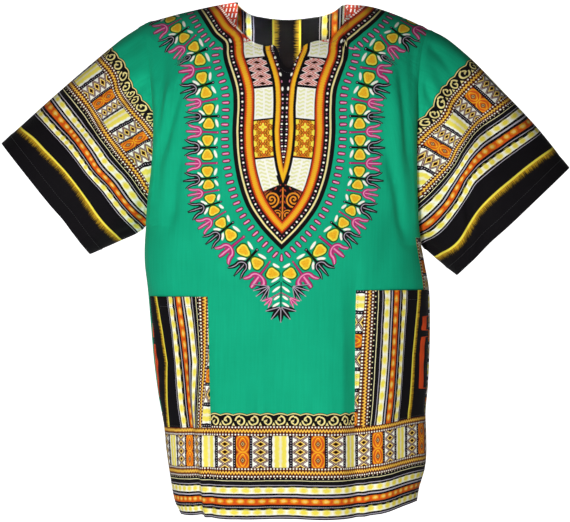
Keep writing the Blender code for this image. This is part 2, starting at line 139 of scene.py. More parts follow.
# Folds of each panel: ridges stand out and troughs (minus) lie in. The first ones of each
# table are the frame's; the short and shallow ones after them are the cloth's own creases.
FRONT_FOLDS = table("x_top z_top x_low z_low width depth", """
-1620 -600 -1700 -3000 170 50
-1500 -3300 -1280 -9000 240 -60
-880 -4200 -700 -9500 300 50
-150 -4300 -100 -9500 300 -60
550 -3600 560 -9500 260 60
960 -3300 1020 -9000 170 -60
1430 -3700 1380 -9000 220 60
1560 -700 1620 -3300 170 45
-1800 -300 -1960 -3000 75 -60
-1500 -900 -1890 -2350 70 -85
-1640 -950 -1960 -2150 70 50
-1560 -1900 -1780 -3400 85 -70
-1360 -500 -1300 -2900 110 -22
1850 -100 1900 -3000 80 -60
1620 -700 1780 -2500 70 -70
1420 -1900 1780 -3600 85 -70
1420 -600 1350 -2500 110 -20
-1700 -2600 -1200 -4200 130 -22
1640 -2700 1260 -4300 140 -24
-560 -4700 -480 -6200 60 -14
300 -4000 240 -6600 100 16
-460 -3800 -420 -7400 140 18
780 -3600 810 -7600 70 22
990 -3400 1030 -8600 60 -34
1075 -3300 1120 -8600 55 26
-440 -4600 -440 -6200 50 -18
-1180 -3800 -1130 -8600 80 -26
-1640 -4400 -1200 -8600 70 -58
-1520 -4400 -1080 -8600 70 34
1180 -5400 1230 -8900 80 -28
100 -5200 160 -9300 120 -18
-700 -5600 -730 -9000 110 -18""", TENTHS)
BACK_FOLDS = table("x_top z_top x_low z_low width depth", """
-1600 -700 -1640 -3200 180 50
-1400 -3000 -1250 -9000 240 -60
-850 -2600 -900 -9500 280 60
-300 -3400 -360 -9500 260 -60
280 -2800 260 -9500 280 60
850 -3200 880 -9500 240 -65
1360 -2800 1400 -9500 240 60
1580 -800 1600 -3300 180 50
1900 -5900 1930 -7900 160 90
-1780 -500 -1900 -2600 80 -40
1800 -500 1850 -2700 80 -40
-1320 -700 -900 -2700 130 -20
1340 -600 980 -2500 120 -20
-420 -600 -560 -2400 160 16
500 -700 620 -3000 180 18
60 -1200 -20 -3600 160 -18
-1100 -3600 -1060 -6400 90 -20
-580 -4200 -600 -8600 80 22
-100 -5000 -60 -9000 90 20
560 -4400 580 -8800 80 -22
1120 -3900 1130 -8000 90 20
1580 -4200 1600 -8600 80 -24
-1620 -4400 -1560 -8600 90 22
1260 -2900 700 -4100 140 -18
-1500 -2700 -800 -4300 150 -20""", TENTHS)
# Folds along the arm: turn is round the sleeve in degrees, from its top by the front, and
# drift is how far it turns on the way to the cuff. Side 0 is for both sleeves.
SLEEVE_FOLDS = table("side turn drift from to width depth", """
0 58 0 0 .7 15 -.006
0 84 0 .05 .95 15 .005
0 116 0 .1 1.3 13 -.0065
0 142 0 0 .9 12 .0045
0 235 0 .05 1.2 16 -.006
0 270 0 .1 1 17 .0055
0 310 0 0 .7 15 -.005
0 34 0 -.2 .55 7 -.0018
-1 57 10 -.25 .62 7 .0034
-1 65.5 12 -.25 .62 4.5 -.0042
-1 90 10 -.2 .75 4.5 -.0034
-1 99 12 -.15 .7 5 .0022
-1 122 14 0 1.1 4.5 -.0026
1 49 91 -.2 1.05 8 .0032
1 59 91 -.2 1.05 4.5 -.0044
1 30 60 -.1 .75 5 -.002
1 96 40 .05 1.1 4.5 .002
0 158 0 -.2 .7 6 -.0018
0 206 8 -.2 .8 7 .0018
0 252 -8 .15 1.1 6 -.0018
0 290 6 -.1 .7 6 .0016
0 335 0 -.2 .6 8 -.0016""")

# Fine columns across a panel: each stop and the number of cells that lead to it. The middle
# column lies on the print's axis, which drifts to the left down the front.
FRONT_STOPS = table("x cells", """
-.2 0  -.19 6  -.0755 36  0 24  .0828 26  .19 34  .2 6""")
FRONT_ROWS = (108, 26, 56, 44)    # cells to the underarm, pocket top, pocket low, hem
FRONT_SCOOP = 30                  # front rows beside the scoop's upright sides
BACK_ROWS = (108, 22, 50, 40)
AXIS = table("z x", """
-.9 -.0105  -.42 -.0103  -.35 -.0094  -.265 -.0075  -.15 -.005  -.1 -.003  -.05 .001  0 .0045
.1 .0045""")
SLEEVE_RINGS = 76


# ---------------------------------------------------------------- curves and easing
def smooth(at, knots, values):
    """A smooth curve through some values, read at any place."""
    slopes = np.gradient(values, knots)
    low = np.clip(np.searchsorted(knots, at, side="right") - 1, 0, len(knots) - 2)
    step = knots[low + 1] - knots[low]
    t = np.clip((at - knots[low]) / step, 0.0, 1.0)
    rise = 3 * t**2 - 2 * t**3
    bend = step * (t * (1 - t) ** 2 * slopes[low] - t**2 * (1 - t) * slopes[low + 1])
    return values[low] * (1 - rise) + values[low + 1] * rise + bend


def read(rows, column, at):
    """A table's column, read at any place of its first one."""
    return smooth(at, next(iter(rows.values())), rows[column])


def ease(value, start, end):
    """0 before start, 1 after end, and a soft step between them."""
    t = np.clip((value - start) / (end - start), 0.0, 1.0)
    return t * t * (3 - 2 * t)


def hump(away, width):
    """1 at no distance, and a soft fall to both sides."""
    return np.exp(-((away / width) ** 2))


def unit(vectors):
    return vectors / np.linalg.norm(vectors, axis=-1, keepdims=True)


def by_side(x, left, right):
    """Take the left value where x is on the left, and the right value elsewhere."""
    return np.where(x < 0, left, right)


def sided(rows, x, z):
    """A table's left or right column at a level, by the side that x is on."""
    return by_side(x, read(rows, "left", z), read(rows, "right", z))


# ---------------------------------------------------------------- the worn body
def shoulder(x):
    return read(SHOULDER, "z", x)


def underarm(x):
    return by_side(x, SLEEVE_LEFT["low_z"][0], SLEEVE_RIGHT["low_z"][0])


def body_depth(x, z, column):
    """How far the cloth lies before (column front) or behind (back) the shoulder line."""
    top = by_side(x, SHOULDER["z"][0], SHOULDER["z"][-1])
    share = np.clip((top - z) / (top - underarm(x)), 0.0, 1.0)
    seam = ARMHOLE_DEPTH * (1 - share**ARMHOLE_POWER) ** ARMHOLE_ROUND
    reach = np.clip(np.abs(x) / sided(BODY, x, z), 0.0, 1.0)
    steep = ease(share, CREASE_FROM, CREASE_FULL)
    power = (1 - steep) + steep / ROUNDNESS
    front_share = (1 - reach**ROUNDNESS) ** power
    beside = 1 - ease(share, BESIDE_FROM, 1.0) * (1 - reach**BESIDE_POWER)
    section = read(BODY, column, z) * front_share + seam * (1 - front_share) * beside
    drop = np.clip((shoulder(x) - z) / SHOULDER_DROP, 0.0, 1.0)
    return section * (1 - (1 - drop) ** SHOULDER_POWER) ** (1 / SHOULDER_POWER)


def at_neck(x, spare=NEAR):
    """Whether a place is between the neck points."""
    return (x > NECK_LEFT - spare) & (x < NECK_RIGHT + spare)


def upper_edge(x, neck):
    """The panel's upper edge: its neckline between the neck points, else the shoulder."""
    return np.where(at_neck(x), read(neck, "z", x), shoulder(x))


def column_x(nominal, z, side=FRONT):
    """Where a column lies at a level: the sides follow the body, the middle its axis."""
    share = np.abs(nominal) / BODY_HALF
    spare = sided(BODY, nominal, z) - BODY_HALF
    drift = read(AXIS, "x", z) * (1 - share) ** 2 * (side == FRONT)
    return np.sign(nominal) * (np.abs(nominal) + spare * share**3) + drift


def spread(stops):
    """Turn a table of stops into the whole list of columns."""
    places = [stops["x"][:1]]
    for start, end, cells in zip(stops["x"], stops["x"][1:], stops["cells"][1:].astype(int)):
        places.append(np.linspace(start, end, cells + 1)[1:])
    return np.concatenate(places)


def settle(nominal, edge):
    """The level where each column meets an upper edge."""
    level = edge(nominal)
    for _ in range(4):
        level = edge(column_x(nominal, level))
    return level


def panel_levels(nominal, neck, rows, scoop_rows):
    """Each column's levels, from its upper edge by way of the underarm to the hem."""
    top = settle(nominal, lambda x: upper_edge(x, neck))
    share = (1 - np.cos(np.pi * np.linspace(0, 1, rows[0] + 1))) / 2
    beside = ease(np.abs(nominal), SIDE_FROM, BODY_HALF)
    low = (UNDERARM_Z + UNDERARM_TILT * nominal) * (1 - beside) + underarm(nominal) * beside
    corner_share = share[scoop_rows]
    even = corner = top + (low - top) * corner_share
    if scoop_rows:
        ridge = settle(nominal, shoulder)
        even = ridge + (low - ridge) * corner_share
        near = 1 - ease(np.maximum(NECK_LEFT - nominal, nominal - NECK_RIGHT), 0.0, NECK_REACH)
        end = by_side(nominal, neck["z"][0], neck["z"][-1])
        corner = np.where(at_neck(nominal), top, even * (1 - near) + end * near)
        top = np.where(at_neck(nominal), ridge, top)
    levels = []
    for part in share:
        if part < corner_share:
            levels.append(top + (corner - top) * (part / corner_share))
        else:
            below = (part - corner_share) / (1 - corner_share)
            levels.append(even + (low - even) * below + (corner - even) * (1 - below) ** 3)
    mouth = POCKET_TOP_Z + POCKET_RISE * ease(nominal, -0.05, 0.05)
    stops = (low, mouth, POCKET_LOW_Z, HEM_Z)
    for start, end, cells in zip(stops, stops[1:], rows[1:]):
        levels += [start + (end - start) * k / cells for k in range(1, cells + 1)]
    return np.array([level + np.zeros_like(nominal) for level in levels])


def fold_relief(folds, x, z):
    """Height of the folds at a place on a panel, faded out at both ends of each."""
    height = np.zeros_like(x)
    for x_top, z_top, x_low, z_low, width, depth in zip(*folds.values()):
        along = (z_top - z) / (z_top - z_low)
        across = x - (x_top + (x_low - x_top) * along)
        height += depth * fold_ends(along) * hump(across, width)
    return height


def fold_ends(along):
    return ease(along, 0.0, FOLD_ENDS) * (1 - ease(along, 1 - FOLD_ENDS, 1.0))


def panel_point(nominal, level, side):
    """A place on a panel without its folds."""
    x = column_x(nominal, level, side)
    slit = ease(-level, -SLIT_TOP_Z, -HEM_Z) * ease(np.abs(nominal), SLIT_FROM, BODY_HALF)
    y = side * (body_depth(x, level, "front" if side == FRONT else "back") + SLIT_OPEN * slit)
    lift = ease(np.abs(x), LIFT_FROM, BODY_HALF) * sided(LIFT, x, level)
    return np.stack([x, y, level + lift], axis=-1)


def panel_normal(nominal, level, side):
    """The outward direction there, from the slopes across and down the cloth."""
    ahead = np.minimum(nominal + PROBE, BODY_HALF)
    behind = np.maximum(nominal - PROBE, -BODY_HALF)
    across = panel_point(ahead, level, side) - panel_point(behind, level, side)
    down = panel_point(nominal, level - PROBE, side) - panel_point(nominal, level + PROBE, side)
    return unit(-side * np.cross(down, across))


def patch(across, level, folds, side, offset=0.0, fade=1.0):
    """A grid of points on a panel, folds and all, and moved off it by an offset."""
    out = panel_normal(across, level, side)
    calm = (1 - (np.abs(across) / BODY_HALF) ** CALM_POWER) * fade
    relief = fold_relief(folds, column_x(across, level, side), level) * calm + offset
    points = panel_point(across, level, side) + out * relief[:, :, None]
    return {"points": points, "out": out, "nominal": across, "level": level, "side": side}


def panel(neck, rows, scoop_rows, folds, side):
    """A whole panel's fine grid."""
    nominal = spread(FRONT_STOPS)
    level = panel_levels(nominal, neck, rows, scoop_rows)
    return patch(nominal + 0 * level, level, folds, side, fade=ease(level[0] - level, 0, TOP_CALM))


def ring_normals(grid):
    """Unit normals of a tube's grid: rows run along it and columns round it."""
    across = np.roll(grid, -1, axis=1) - np.roll(grid, 1, axis=1)
    return unit(np.cross(np.gradient(grid, axis=0), across))


def sleeve(edge, front, back, side):
    """A sleeve's fine rings, from the armhole's own points out to the cuff."""
    count_front, count_back = FRONT_ROWS[0], BACK_ROWS[0]
    column = 0 if side == LEFT else -1
    seam = np.concatenate([front["points"][:count_front + 1, column],
                           back["points"][count_back - 1:0:-1, column]])
    turn = np.concatenate([np.linspace(0, 180, count_front + 1),
                           np.linspace(180, 360, count_back + 1)[1:-1]])
    cos, sin = np.cos(np.radians(turn)), np.sin(np.radians(turn))
    rings = []
    for share in np.linspace(0, 1, SLEEVE_RINGS + 1):
        top_x, top_z, low_x, low_z, depth = (read(edge, name, share) for name in list(edge)[1:])
        top, low = np.array([top_x, 0, top_z]), np.array([low_x, 0, low_z])
        middle, half = (top + low) / 2, (top - low) / 2
        axis = np.cross(half, (0, 1, 0))
        axis = -side * axis / np.linalg.norm(axis)
        ring = middle + half * cos[:, None]
        ring[:, 1] -= depth * np.sign(sin) * np.abs(sin) ** SLEEVE_ROUND
        ring += axis * (-CUFF_SLANT * share**3 * np.abs(sin))[:, None]
        straight = top + (low - top) * ((1 - cos)[:, None] / 2)
        if share == 0:
            bend = seam - straight
        keep = 1 - ease(share, 0.0, SLEEVE_MERGE)
        rings.append(keep * (straight + bend) + (1 - keep) * ring)
    grid = np.array(rings)
    along = np.linspace(0, 1, SLEEVE_RINGS + 1)[:, None]
    height = np.zeros(grid.shape[:2])
    for only, at, drift, start, end, width, depth in zip(*SLEEVE_FOLDS.values()):
        fade = fold_ends((along - start) / (end - start)) * ease(along, 0.0, 0.08)
        away = turn[None, :] - at - drift * along
        height = height + depth * fade * hump(away, width) * (only in (0, side))
    grid = grid + -side * ring_normals(grid) * height[:, :, None]
    return {"points": grid, "out": -side * ring_normals(grid), "turn": turn, "side": side}


# ---------------------------------------------------------------- where the print lies
CHEST_Z = -0.200                  # the print's heights are counted from the chest line
OVER_SHOULDER = 0.4               # how much of the run back over the shoulder it follows
HEM_REPEAT, HEM_PITCH = 1.012, 1.03   # how much larger the hem's print is, up and along
# how far the hem's tucks have shifted its print
TUCKS = table("across shift", """
-200 -46  -175 -44  -161 -40  -141 -22  -125 -8  -113 0  -105 0  -95 0  80 0  90 0  104 5
125 11  146 16  165 24  182 32  200 35""")
HEM_DEPTH = 153.8                 # border from its scalloped line to the hem
SLEEVE_DEPTH = 227.0              # border from its scalloped line to the cuff
FACING_DEPTH = 200.0              # border at the facing's middle
STRIP_FROM, STRIP_TOP, STRIP_LOW = 0.1880, -0.3330, -0.5900   # beside the right seam
STRIP_DEPTH, STRIP_SPREAD = 20.0, 3400.0

# How the print is drawn along each sleeve, in millimetres: at each turn, how far tucks have
# shifted it round the sleeve and how far each depth of it is pulled towards the cuff.
PULL_DEPTHS = (45.0, 90.0, 115.0, 130.0, 145.0, 178.0)
SLEEVE_LEFT_PULL = table("turn shift upper cord tile orange low yellow", """
0 35 -7.5 -5 -8 -7 -11 -10
24 38 -7.5 -4 -8 -7 -11 -8.5
50 43 -8.5 -2.5 -8 -6 -8.5 -1.5
60 42 -16 -2.5 -8 -5.5 -7 0
75 25 -18.5 -6.5 -7.5 -5 -4.5 3.5
88 20.5 -16.5 -8.8 -8 -7 -5.5 6.5
95 11 -16.5 -9 -9 -9.5 -7 6.5
115 8 -16 -10.5 -7 -8.5 -4 3
130 6.5 -15 -14.5 -9.5 -10.5 -5.5 .5
150 6.5 -10 -10 -10.5 -7 -4.5 2
180 6.5 -4 -4 -4 -4 -4 3""")
SLEEVE_RIGHT_PULL = table("turn shift upper cord tile orange low yellow", """
0 10.5 -5 -4.5 -4 -7.5 -11 -9
24 12 -5.5 -3 -2.5 -6.5 -10 -7
48 22.5 -6.5 2 1 -2 -5 -2
62 18.5 -9 6.5 4.5 1 -1 1
75 18.5 -18.5 5 8 4.5 2.5 3
86 9 -17 -3 6.5 6.5 4.5 4.8
95 0 -17 -14 -.5 5 5 5.2
105 -4 -17 -15 -7.5 -3 -2 4.5
118 -10 -16 -15.5 -11 -12 -9.5 -2
133 -10 -14 -14 -10.5 -13.5 -13.5 -9.5
155 -10 -9 -9 -8.5 -10 -9 -7
180 -10 -4 -4 -4 -4 -4 -4""")

# The plaque's outer edge and the flower chain, in millimetres from the print's axis, and
# which dark stem of the chain stands at which run of it.
PLAQUE_EDGE = table("across up", """
0 -351.8  12 -340.2  33 -317.2  51.3 -290  63.6 -258.2  71.2 -222.2  74.2 -185  73.6 -140
74.6 -124  82 -98.5  88.6 -79.5  91.4 -65  91.5 -56  92.8 -51.2  98.3 -45.7  108.5 -35.8
120.6 -20.3  130.9 -5  138.5 8.7  144.5 26  148 40""")
CHAIN_LINE = table("across up", """
0 -387.8  19 -383.4  42.5 -363.2  60 -347.4  75 -328.6  98.5 -295.4  108 -255  110 -207.5
110 -142.5  115 -120.5  121.9 -96.5  125.4 -72.5  129.3 -61  137.5 -51.5  149.5 -41  163.7 -24
175.5 -9.5  183 6  189 25""")
CHAIN_STEMS = table("run stem", """
0 0  53 1  108.7 2  149 3  187.5 4  232 5  276.7 6  322.8 7  374.7 8  422 9  470 10""")
# The same on the back: a shallow yoke that follows the neckline.
YOKE_EDGE = table("across up", """
0 -92  30 -90  60 -80  86 -62  106 -38  122 -16  135 2  143 24  149 44""")
YOKE_LINE = table("across up", """
0 -130  34 -127.5  70 -116  102 -94  128 -66  150 -38  169 -14  182 10  192 34""")
YOKE_STEMS = table("run stem", """
0 0  92 2  184 4  276 6  368 8""")
STEM_PITCH = 46.0                 # from one dark stem of the chain to the next
DASH_OFFSET, DASH_PITCH = 11.2, 10.5   # from the plaque's edge to the middle of the dashes
CURVE_STEP = 1.5
CHUNK = 4000                      # places looked at together

# The upright print of each pocket: where each depth of the border lies across it, as a share
# of its width at its mouth, its middle and its lower edge.
POCKET_LEFT_PRINT = table("depth mouth middle low", """
238 -.09 -.005 -.09
229 -.03 .065 -.03
185.5 .085 .2 .067
180 .125 .24 .107
142 .364 .4 .414
126.25 .498 .56 .547
110.75 .639 .743 .645
91.5 .854 .86 .736
85 .97 .92 .78
74 1.06 1 .825
60 1.2 1.15 1""")
POCKET_RIGHT_PRINT = table("depth mouth middle low", """
60 -.055 -.119 -.156
85.5 .18 .133 .109
91.5 .227 .184 .158
96.6 .294 .245 .209
110.75 .414 .367 .309
126.25 .537 .483 .43
142 .654 .603 .558
180 .851 .773 .745
185.5 .892 .81 .786
229 .93 .861 .88
238 1 .936 .95
260 1.1 1.03 1.05""")
POCKET_STRETCH = 1.06
POCKET_RED = (0.20, 0.31, 0.37, 0.78)   # where the red shows, down a pocket
LAST_BLACK = 227.8                # the border's black ends here, and its red begins


def run_length(points, axis, depth_share=1.0):
    """Lengths along a grid's rows (axis 1) or down its columns (axis 0), from their start."""
    steps = np.diff(points, axis=axis) * (1.0, depth_share, 1.0)
    pad = [(0, 0), (0, 0)]
    pad[axis] = (1, 0)
    return np.pad(np.cumsum(np.linalg.norm(steps, axis=2), axis=axis), pad)


def line_length(points):
    """How far along a line each of its points is."""
    return np.concatenate([[0.0], np.cumsum(np.linalg.norm(np.diff(points, axis=0), axis=1))])


def flat_panel(grid):
    """Where the print lies: round the body, straight across from its axis, and upward."""
    points = grid["points"]
    middle = int(np.argmin(np.abs(grid["nominal"][0])))
    around = run_length(points, 1)
    around = around - around[:, middle:middle + 1]
    across = points[:, :, 0] - points[:, middle:middle + 1, 0]
    down = run_length(points, 0, OVER_SHOULDER)
    at_chest = [np.interp(-CHEST_Z, -level, run) for level, run in zip(grid["level"].T, down.T)]
    return around * MM, across * MM, (CHEST_Z + np.array(at_chest) - down) * MM


def flat_sleeve(grid, edge):
    """Flat cloth coordinates: round the sleeve from its top, and straight up from the cuff."""
    points = grid["points"]
    top = np.array([edge["top_x"][-1], 0.0, edge["top_z"][-1]])
    low = np.array([edge["low_x"][-1], 0.0, edge["low_z"][-1]])
    down = (low - top) / np.linalg.norm(low - top)
    inward = np.array([-down[2], 0.0, down[0]]) * -grid["side"]
    level, y = points @ down, points[:, :, 1]
    steps = np.hypot(np.diff(level, axis=1), np.diff(y, axis=1))
    around = np.pad(np.cumsum(steps, axis=1), ((0, 0), (1, 0)))
    whole = around[:, -1:] + np.hypot(level[:, :1] - level[:, -1:], y[:, :1] - y[:, -1:])
    around = np.where(around > whole / 2, around - whole, around)
    return around * MM, (points - top) @ inward * MM


def trace(line):
    """A smooth dense line through a table's points."""
    knots = np.stack([line["across"], line["up"]], axis=1)
    run = line_length(knots)
    at = np.arange(0.0, run[-1], CURVE_STEP)
    return np.stack([smooth(at, run, column) for column in knots.T], axis=1)


def sideways(line):
    """Unit directions square to a line, on its right."""
    way = unit(np.gradient(line, axis=0))
    return np.stack([way[:, 1], -way[:, 0]], axis=1)


def clear_of(moved, line, distance):
    """The points of a moved line that are really that far from the first one."""
    return moved[np.linalg.norm(moved[:, None] - line[None], axis=2).min(axis=1) > distance]


def offset_line(dense, distance):
    """The line moved outwards, with a round end where it meets the axis."""
    out = sideways(dense)
    first = np.arctan2(out[0, 1], out[0, 0])
    turn = np.linspace(-np.pi / 2, first, max(2, int((first + np.pi / 2) * distance)))[:-1]
    cap = dense[0] + distance * np.stack([np.cos(turn), np.sin(turn)], axis=1)
    return clear_of(np.concatenate([cap, dense + out * distance]), dense, distance * 0.97)


def beside_line(across, up, dense):
    """For every place: how far along a line its nearest point is, and how far off it."""
    run, start, step = line_length(dense), dense[:-1], np.diff(dense, axis=0)
    place = np.stack([np.abs(across), up], axis=-1).reshape(-1, 2)
    square = (step**2).sum(axis=1)
    along, off = np.empty((2, len(place)))
    for k in range(0, len(place), CHUNK):
        away = place[k:k + CHUNK, None] - start[None]
        t = np.clip((away * step).sum(axis=2) / square, 0.0, 1.0)
        gap = away - t[:, :, None] * step
        best = np.argmin((gap**2).sum(axis=2), axis=1)
        pick = np.arange(len(best))
        near, share = gap[pick, best], t[pick, best]
        side = step[best, 1] * near[:, 0] - step[best, 0] * near[:, 1]
        along[k:k + CHUNK] = run[best] + share * np.sqrt(square[best])
        off[k:k + CHUNK] = np.sign(side) * np.linalg.norm(near, axis=1)
    return along.reshape(across.shape), off.reshape(across.shape)


def field(first, second, third=0.0):
    """Three numbers for each point of a grid."""
    return np.stack(np.broadcast_arrays(first, second, third), axis=-1)


def panel_fields(grid, edge, line, stems):
    """Everything that a panel's print is drawn from, at each of its points."""
    around, across, up = flat_panel(grid)
    level = grid["level"]
    border = (HEM_DEPTH - (level - HEM_Z) * MM) / HEM_REPEAT
    tucks = read(TUCKS, "shift", across) * (grid["side"] == FRONT)
    beyond = grid["nominal"] - STRIP_FROM
    strip = (beyond > 0) & (level < STRIP_TOP) & (level > STRIP_LOW) & (grid["side"] == FRONT)
    edge_run, edge_off = beside_line(across, up, trace(edge))
    dash_run, dash_off = beside_line(across, up, offset_line(trace(edge), DASH_OFFSET))
    chain_run, chain_off = beside_line(across, up, trace(line))
    return {
        "cloth": field(around, level * MM),
        "border": field(np.where(strip, level * MM, around / HEM_PITCH + tucks),
                        np.where(strip, STRIP_DEPTH + STRIP_SPREAD * beyond, border)),
        "plaque": field(edge_run, -edge_off, across),
        "dashes": field(dash_run, dash_off, up),
        "chain": field(STEM_PITCH * read(stems, "stem", chain_run), chain_off, across),
    }


def sleeve_fields(grid, edge, marks):
    """A sleeve's print: the border runs round it, counted up from its cuff."""
    around, up = flat_sleeve(grid, edge)
    down = SLEEVE_DEPTH - up
    turn = 180.0 - np.abs(grid["turn"] - 180.0)
    shift, *pulls = (read(marks, name, turn) for name in list(marks)[1:])
    pull = [np.interp(down[:, k], PULL_DEPTHS, [line[k] for line in pulls])
            for k in range(len(turn))]
    depth = np.minimum(down + np.transpose(pull), LAST_BLACK)
    return {"cloth": field(around, up), "border": field(around - shift, depth)}


# ---------------------------------------------------------------- inks and nodes
INKS = {
    "black": (0.006, 0.005, 0.0065), "white": (0.985, 0.975, 0.87), "pale": (0.88, 0.76, 0.3),
    "lemon": (0.93, 0.79, 0.08), "yellow": (0.93, 0.53, 0.02), "orange": (0.79, 0.23, 0.02),
    "red": (0.66, 0.048, 0.011), "salmon": (0.59, 0.08, 0.044), "brown": (0.156, 0.021, 0.005),
    "pink": (0.87, 0.3, 0.51), "magenta": (0.51, 0.032, 0.187), "plum": (0.05, 0.008, 0.027),
    "grey": (0.46, 0.4, 0.48), "slate": (0.5, 0.47, 0.54), "moss": (0.015, 0.11, 0.012),
    "amber": (0.75, 0.14, 0.012), "umber": (0.095, 0.015, 0.005), "lime": (0.78, 0.78, 0.24),
    "blush": (0.86, 0.7, 0.66), "cream": (0.88, 0.82, 0.46), "flame": (0.86, 0.085, 0.014),
    "apricot": (0.89, 0.39, 0.065), "ember": (0.72, 0.095, 0.01),
}
SOFT = 0.5                        # how far an ink's edge bleeds, in millimetres


def feed(value, slot):
    """Link a value or a socket to a node's input, or set it to a plain number or colour."""
    if isinstance(value, Value):
        value = value.socket
    if isinstance(value, bpy.types.NodeSocket):
        slot.id_data.links.new(value, slot)
    else:
        slot.default_value = value


def add_node(tree, kind, inputs=(), **settings):
    """Add a node: set its properties, then feed its inputs, given by name or number."""
    node = tree.nodes.new(f"ShaderNode{kind}")
    for name, value in settings.items():
        setattr(node, name, value)
    for slot, value in dict(inputs).items():
        feed(value, node.inputs[slot])
    return node


class Value:
    """A number that changes over the cloth. Arithmetic on it adds nodes to its tree."""

    def __init__(self, socket):
        self.socket, self.tree = socket, socket.id_data

    def math(self, operation, *others, clamp=False):
        node = add_node(self.tree, "Math", enumerate((self, *others)), operation=operation,
                        use_clamp=clamp)
        return Value(node.outputs[0])

    def __add__(self, other):
        return self.math("ADD", other)

    def __sub__(self, other):
        return self.math("SUBTRACT", other)

    def __rsub__(self, other):
        return self.math("MULTIPLY_ADD", -1.0, other)

    def __mul__(self, other):
        return self.math("MULTIPLY", other)

    def __truediv__(self, other):
        return self.math("DIVIDE", other)

    def __abs__(self):
        return self.math("ABSOLUTE")

    def __mod__(self, other):
        return self.math("FLOORED_MODULO", other)

    __radd__, __rmul__ = __add__, __mul__

    def times(self, factor, more):
        return self.math("MULTIPLY_ADD", factor, more)

    def least(self, other):
        return self.math("MINIMUM", other)

    def most(self, other):
        return self.math("MAXIMUM", other)

    def below(self, edge, soft=SOFT):
        """1 where the number is under the edge, 0 over it, with a soft edge between."""
        if isinstance(edge, Value):
            return (edge - self).math("MULTIPLY_ADD", 1 / soft, 0.5, clamp=True)
        return self.math("MULTIPLY_ADD", -1 / soft, edge / soft + 0.5, clamp=True)

    def above(self, edge, soft=SOFT):
        return self.math("MULTIPLY_ADD", 1 / soft, 0.5 - edge / soft, clamp=True)

    def within(self, low, high, soft=SOFT):
        """1 between two plain edges."""
        return abs(self - (low + high) / 2).below((high - low) / 2, soft)

    def wave(self, period, shift=0.0):
        """A sine from -1 to 1 with that period."""
        turn = 2 * np.pi / period
        return self.times(turn, -turn * shift).math("SINE")

    def repeat(self, period, shift=0.0):
        """How far the nearest middle of a repeat is, with its sign."""
        return (self + (period / 2 - shift)) % period - period / 2


def length(x, y):
    """How far a place is from the origin."""
    return (x * x + y * y).math("SQRT")


def oval(x, y, wide, tall):
    """The same, where an oval of that size is 1."""
    return length(x * (1 / wide), y * (1 / tall))


def circling(x, y):
    """Turns about the origin, from -0.5 to 0.5."""
    return y.math("ARCTAN2", x) * (1 / (2 * np.pi))


def ink(name):
    return (*INKS[name], 1.0) if isinstance(name, str) else name


def paint(under, over, mask):
    """Lay one ink or colour over another through a mask."""
    inputs = {"Factor": mask, "A": ink(under), "B": ink(over)}
    return add_node(mask.tree, "Mix", inputs, data_type="RGBA").outputs["Result"]


def layers(under, *coats, within=None):
    """Lay inks in turn, in one area: each coat is an ink, its mask and perhaps its strength."""
    for over, mask, *strength in coats:
        for factor in ([] if within is None else [within]) + strength:
            mask = mask * factor
        under = paint(under, over, mask)
    return under


def stripes(at, whole, text):
    """Plain stripes across a width: inks by name, with the places between them."""
    words = text.split()
    node = add_node(at.tree, "ValToRGB", {"Fac": at * (1 / whole)})
    ramp = node.color_ramp
    ramp.interpolation = "CONSTANT"
    ramp.elements[0].color = ink(words[0])
    ramp.elements.remove(ramp.elements[1])
    for place, name in zip(words[1::2], words[2::2]):
        ramp.elements.new(float(place) / whole).color = ink(name)
    return node.outputs["Color"]


def noise(x, y, size_x, size_y, detail=2.0):
    """Smooth noise about 0.5 with grains of that size in millimetres."""
    place = add_node(x.tree, "CombineXYZ", {"X": x * (1 / size_x), "Y": y * (1 / size_y)})
    node = add_node(x.tree, "TexNoise", {"Scale": 1.0, "Detail": detail,
                                         "Vector": place.outputs["Vector"]})
    return Value(node.outputs["Fac"])


def new_group(name, inputs, outputs):
    """A shader node group: returns its inputs as values, and how to feed its outputs."""
    tree = bpy.data.node_groups.new(name, "ShaderNodeTree")
    for label in inputs.split():
        tree.interface.new_socket(label, in_out="INPUT", socket_type="NodeSocketFloat")
    for label in outputs.split():
        kind = "Color" if label == "Color" else "Float"
        tree.interface.new_socket(label, in_out="OUTPUT", socket_type=f"NodeSocket{kind}")
    start, end = tree.nodes.new("NodeGroupInput"), tree.nodes.new("NodeGroupOutput")

    def send(*values):
        for value, slot in zip(values, end.inputs):
            feed(value, slot)
    return [Value(start.outputs[label]) for label in inputs.split()], send


def use(name, *values):
    """Place a node group with its inputs fed; returns its outputs by name."""
    node = values[0].tree.nodes.new("ShaderNodeGroup")
    node.node_tree = bpy.data.node_groups[name]
    for slot, value in zip(node.inputs, values):
        feed(value, slot)
    return {slot.name: Value(slot) if slot.type == "VALUE" else slot for slot in node.outputs}


# ---------------------------------------------------------------- the cloth and its prints
THREAD = 0.84                     # two threads of the weave
TILE_REPEAT, TILE_MIDDLE = 107.2, 56.0
CORD_MIDDLE, CORD_OFF = 55.75, 29.8
TOOTH = 4.55                      # of the cords' zigzag
ORANGE_MIDDLE = 126.3             # of the orange stripe
CURL_PITCH = 19.0
YELLOW_LINE = 180.0
PLAQUE_COLUMN = 43.8              # the middle of the plaque's column of tiles
TIP_BELOW, FAN_ABOVE = 93.0, 322.0    # runs of the plaque's edge
FLOWER_HALF = STEM_PITCH / 4      # from a stem or bud to the middle of a flower


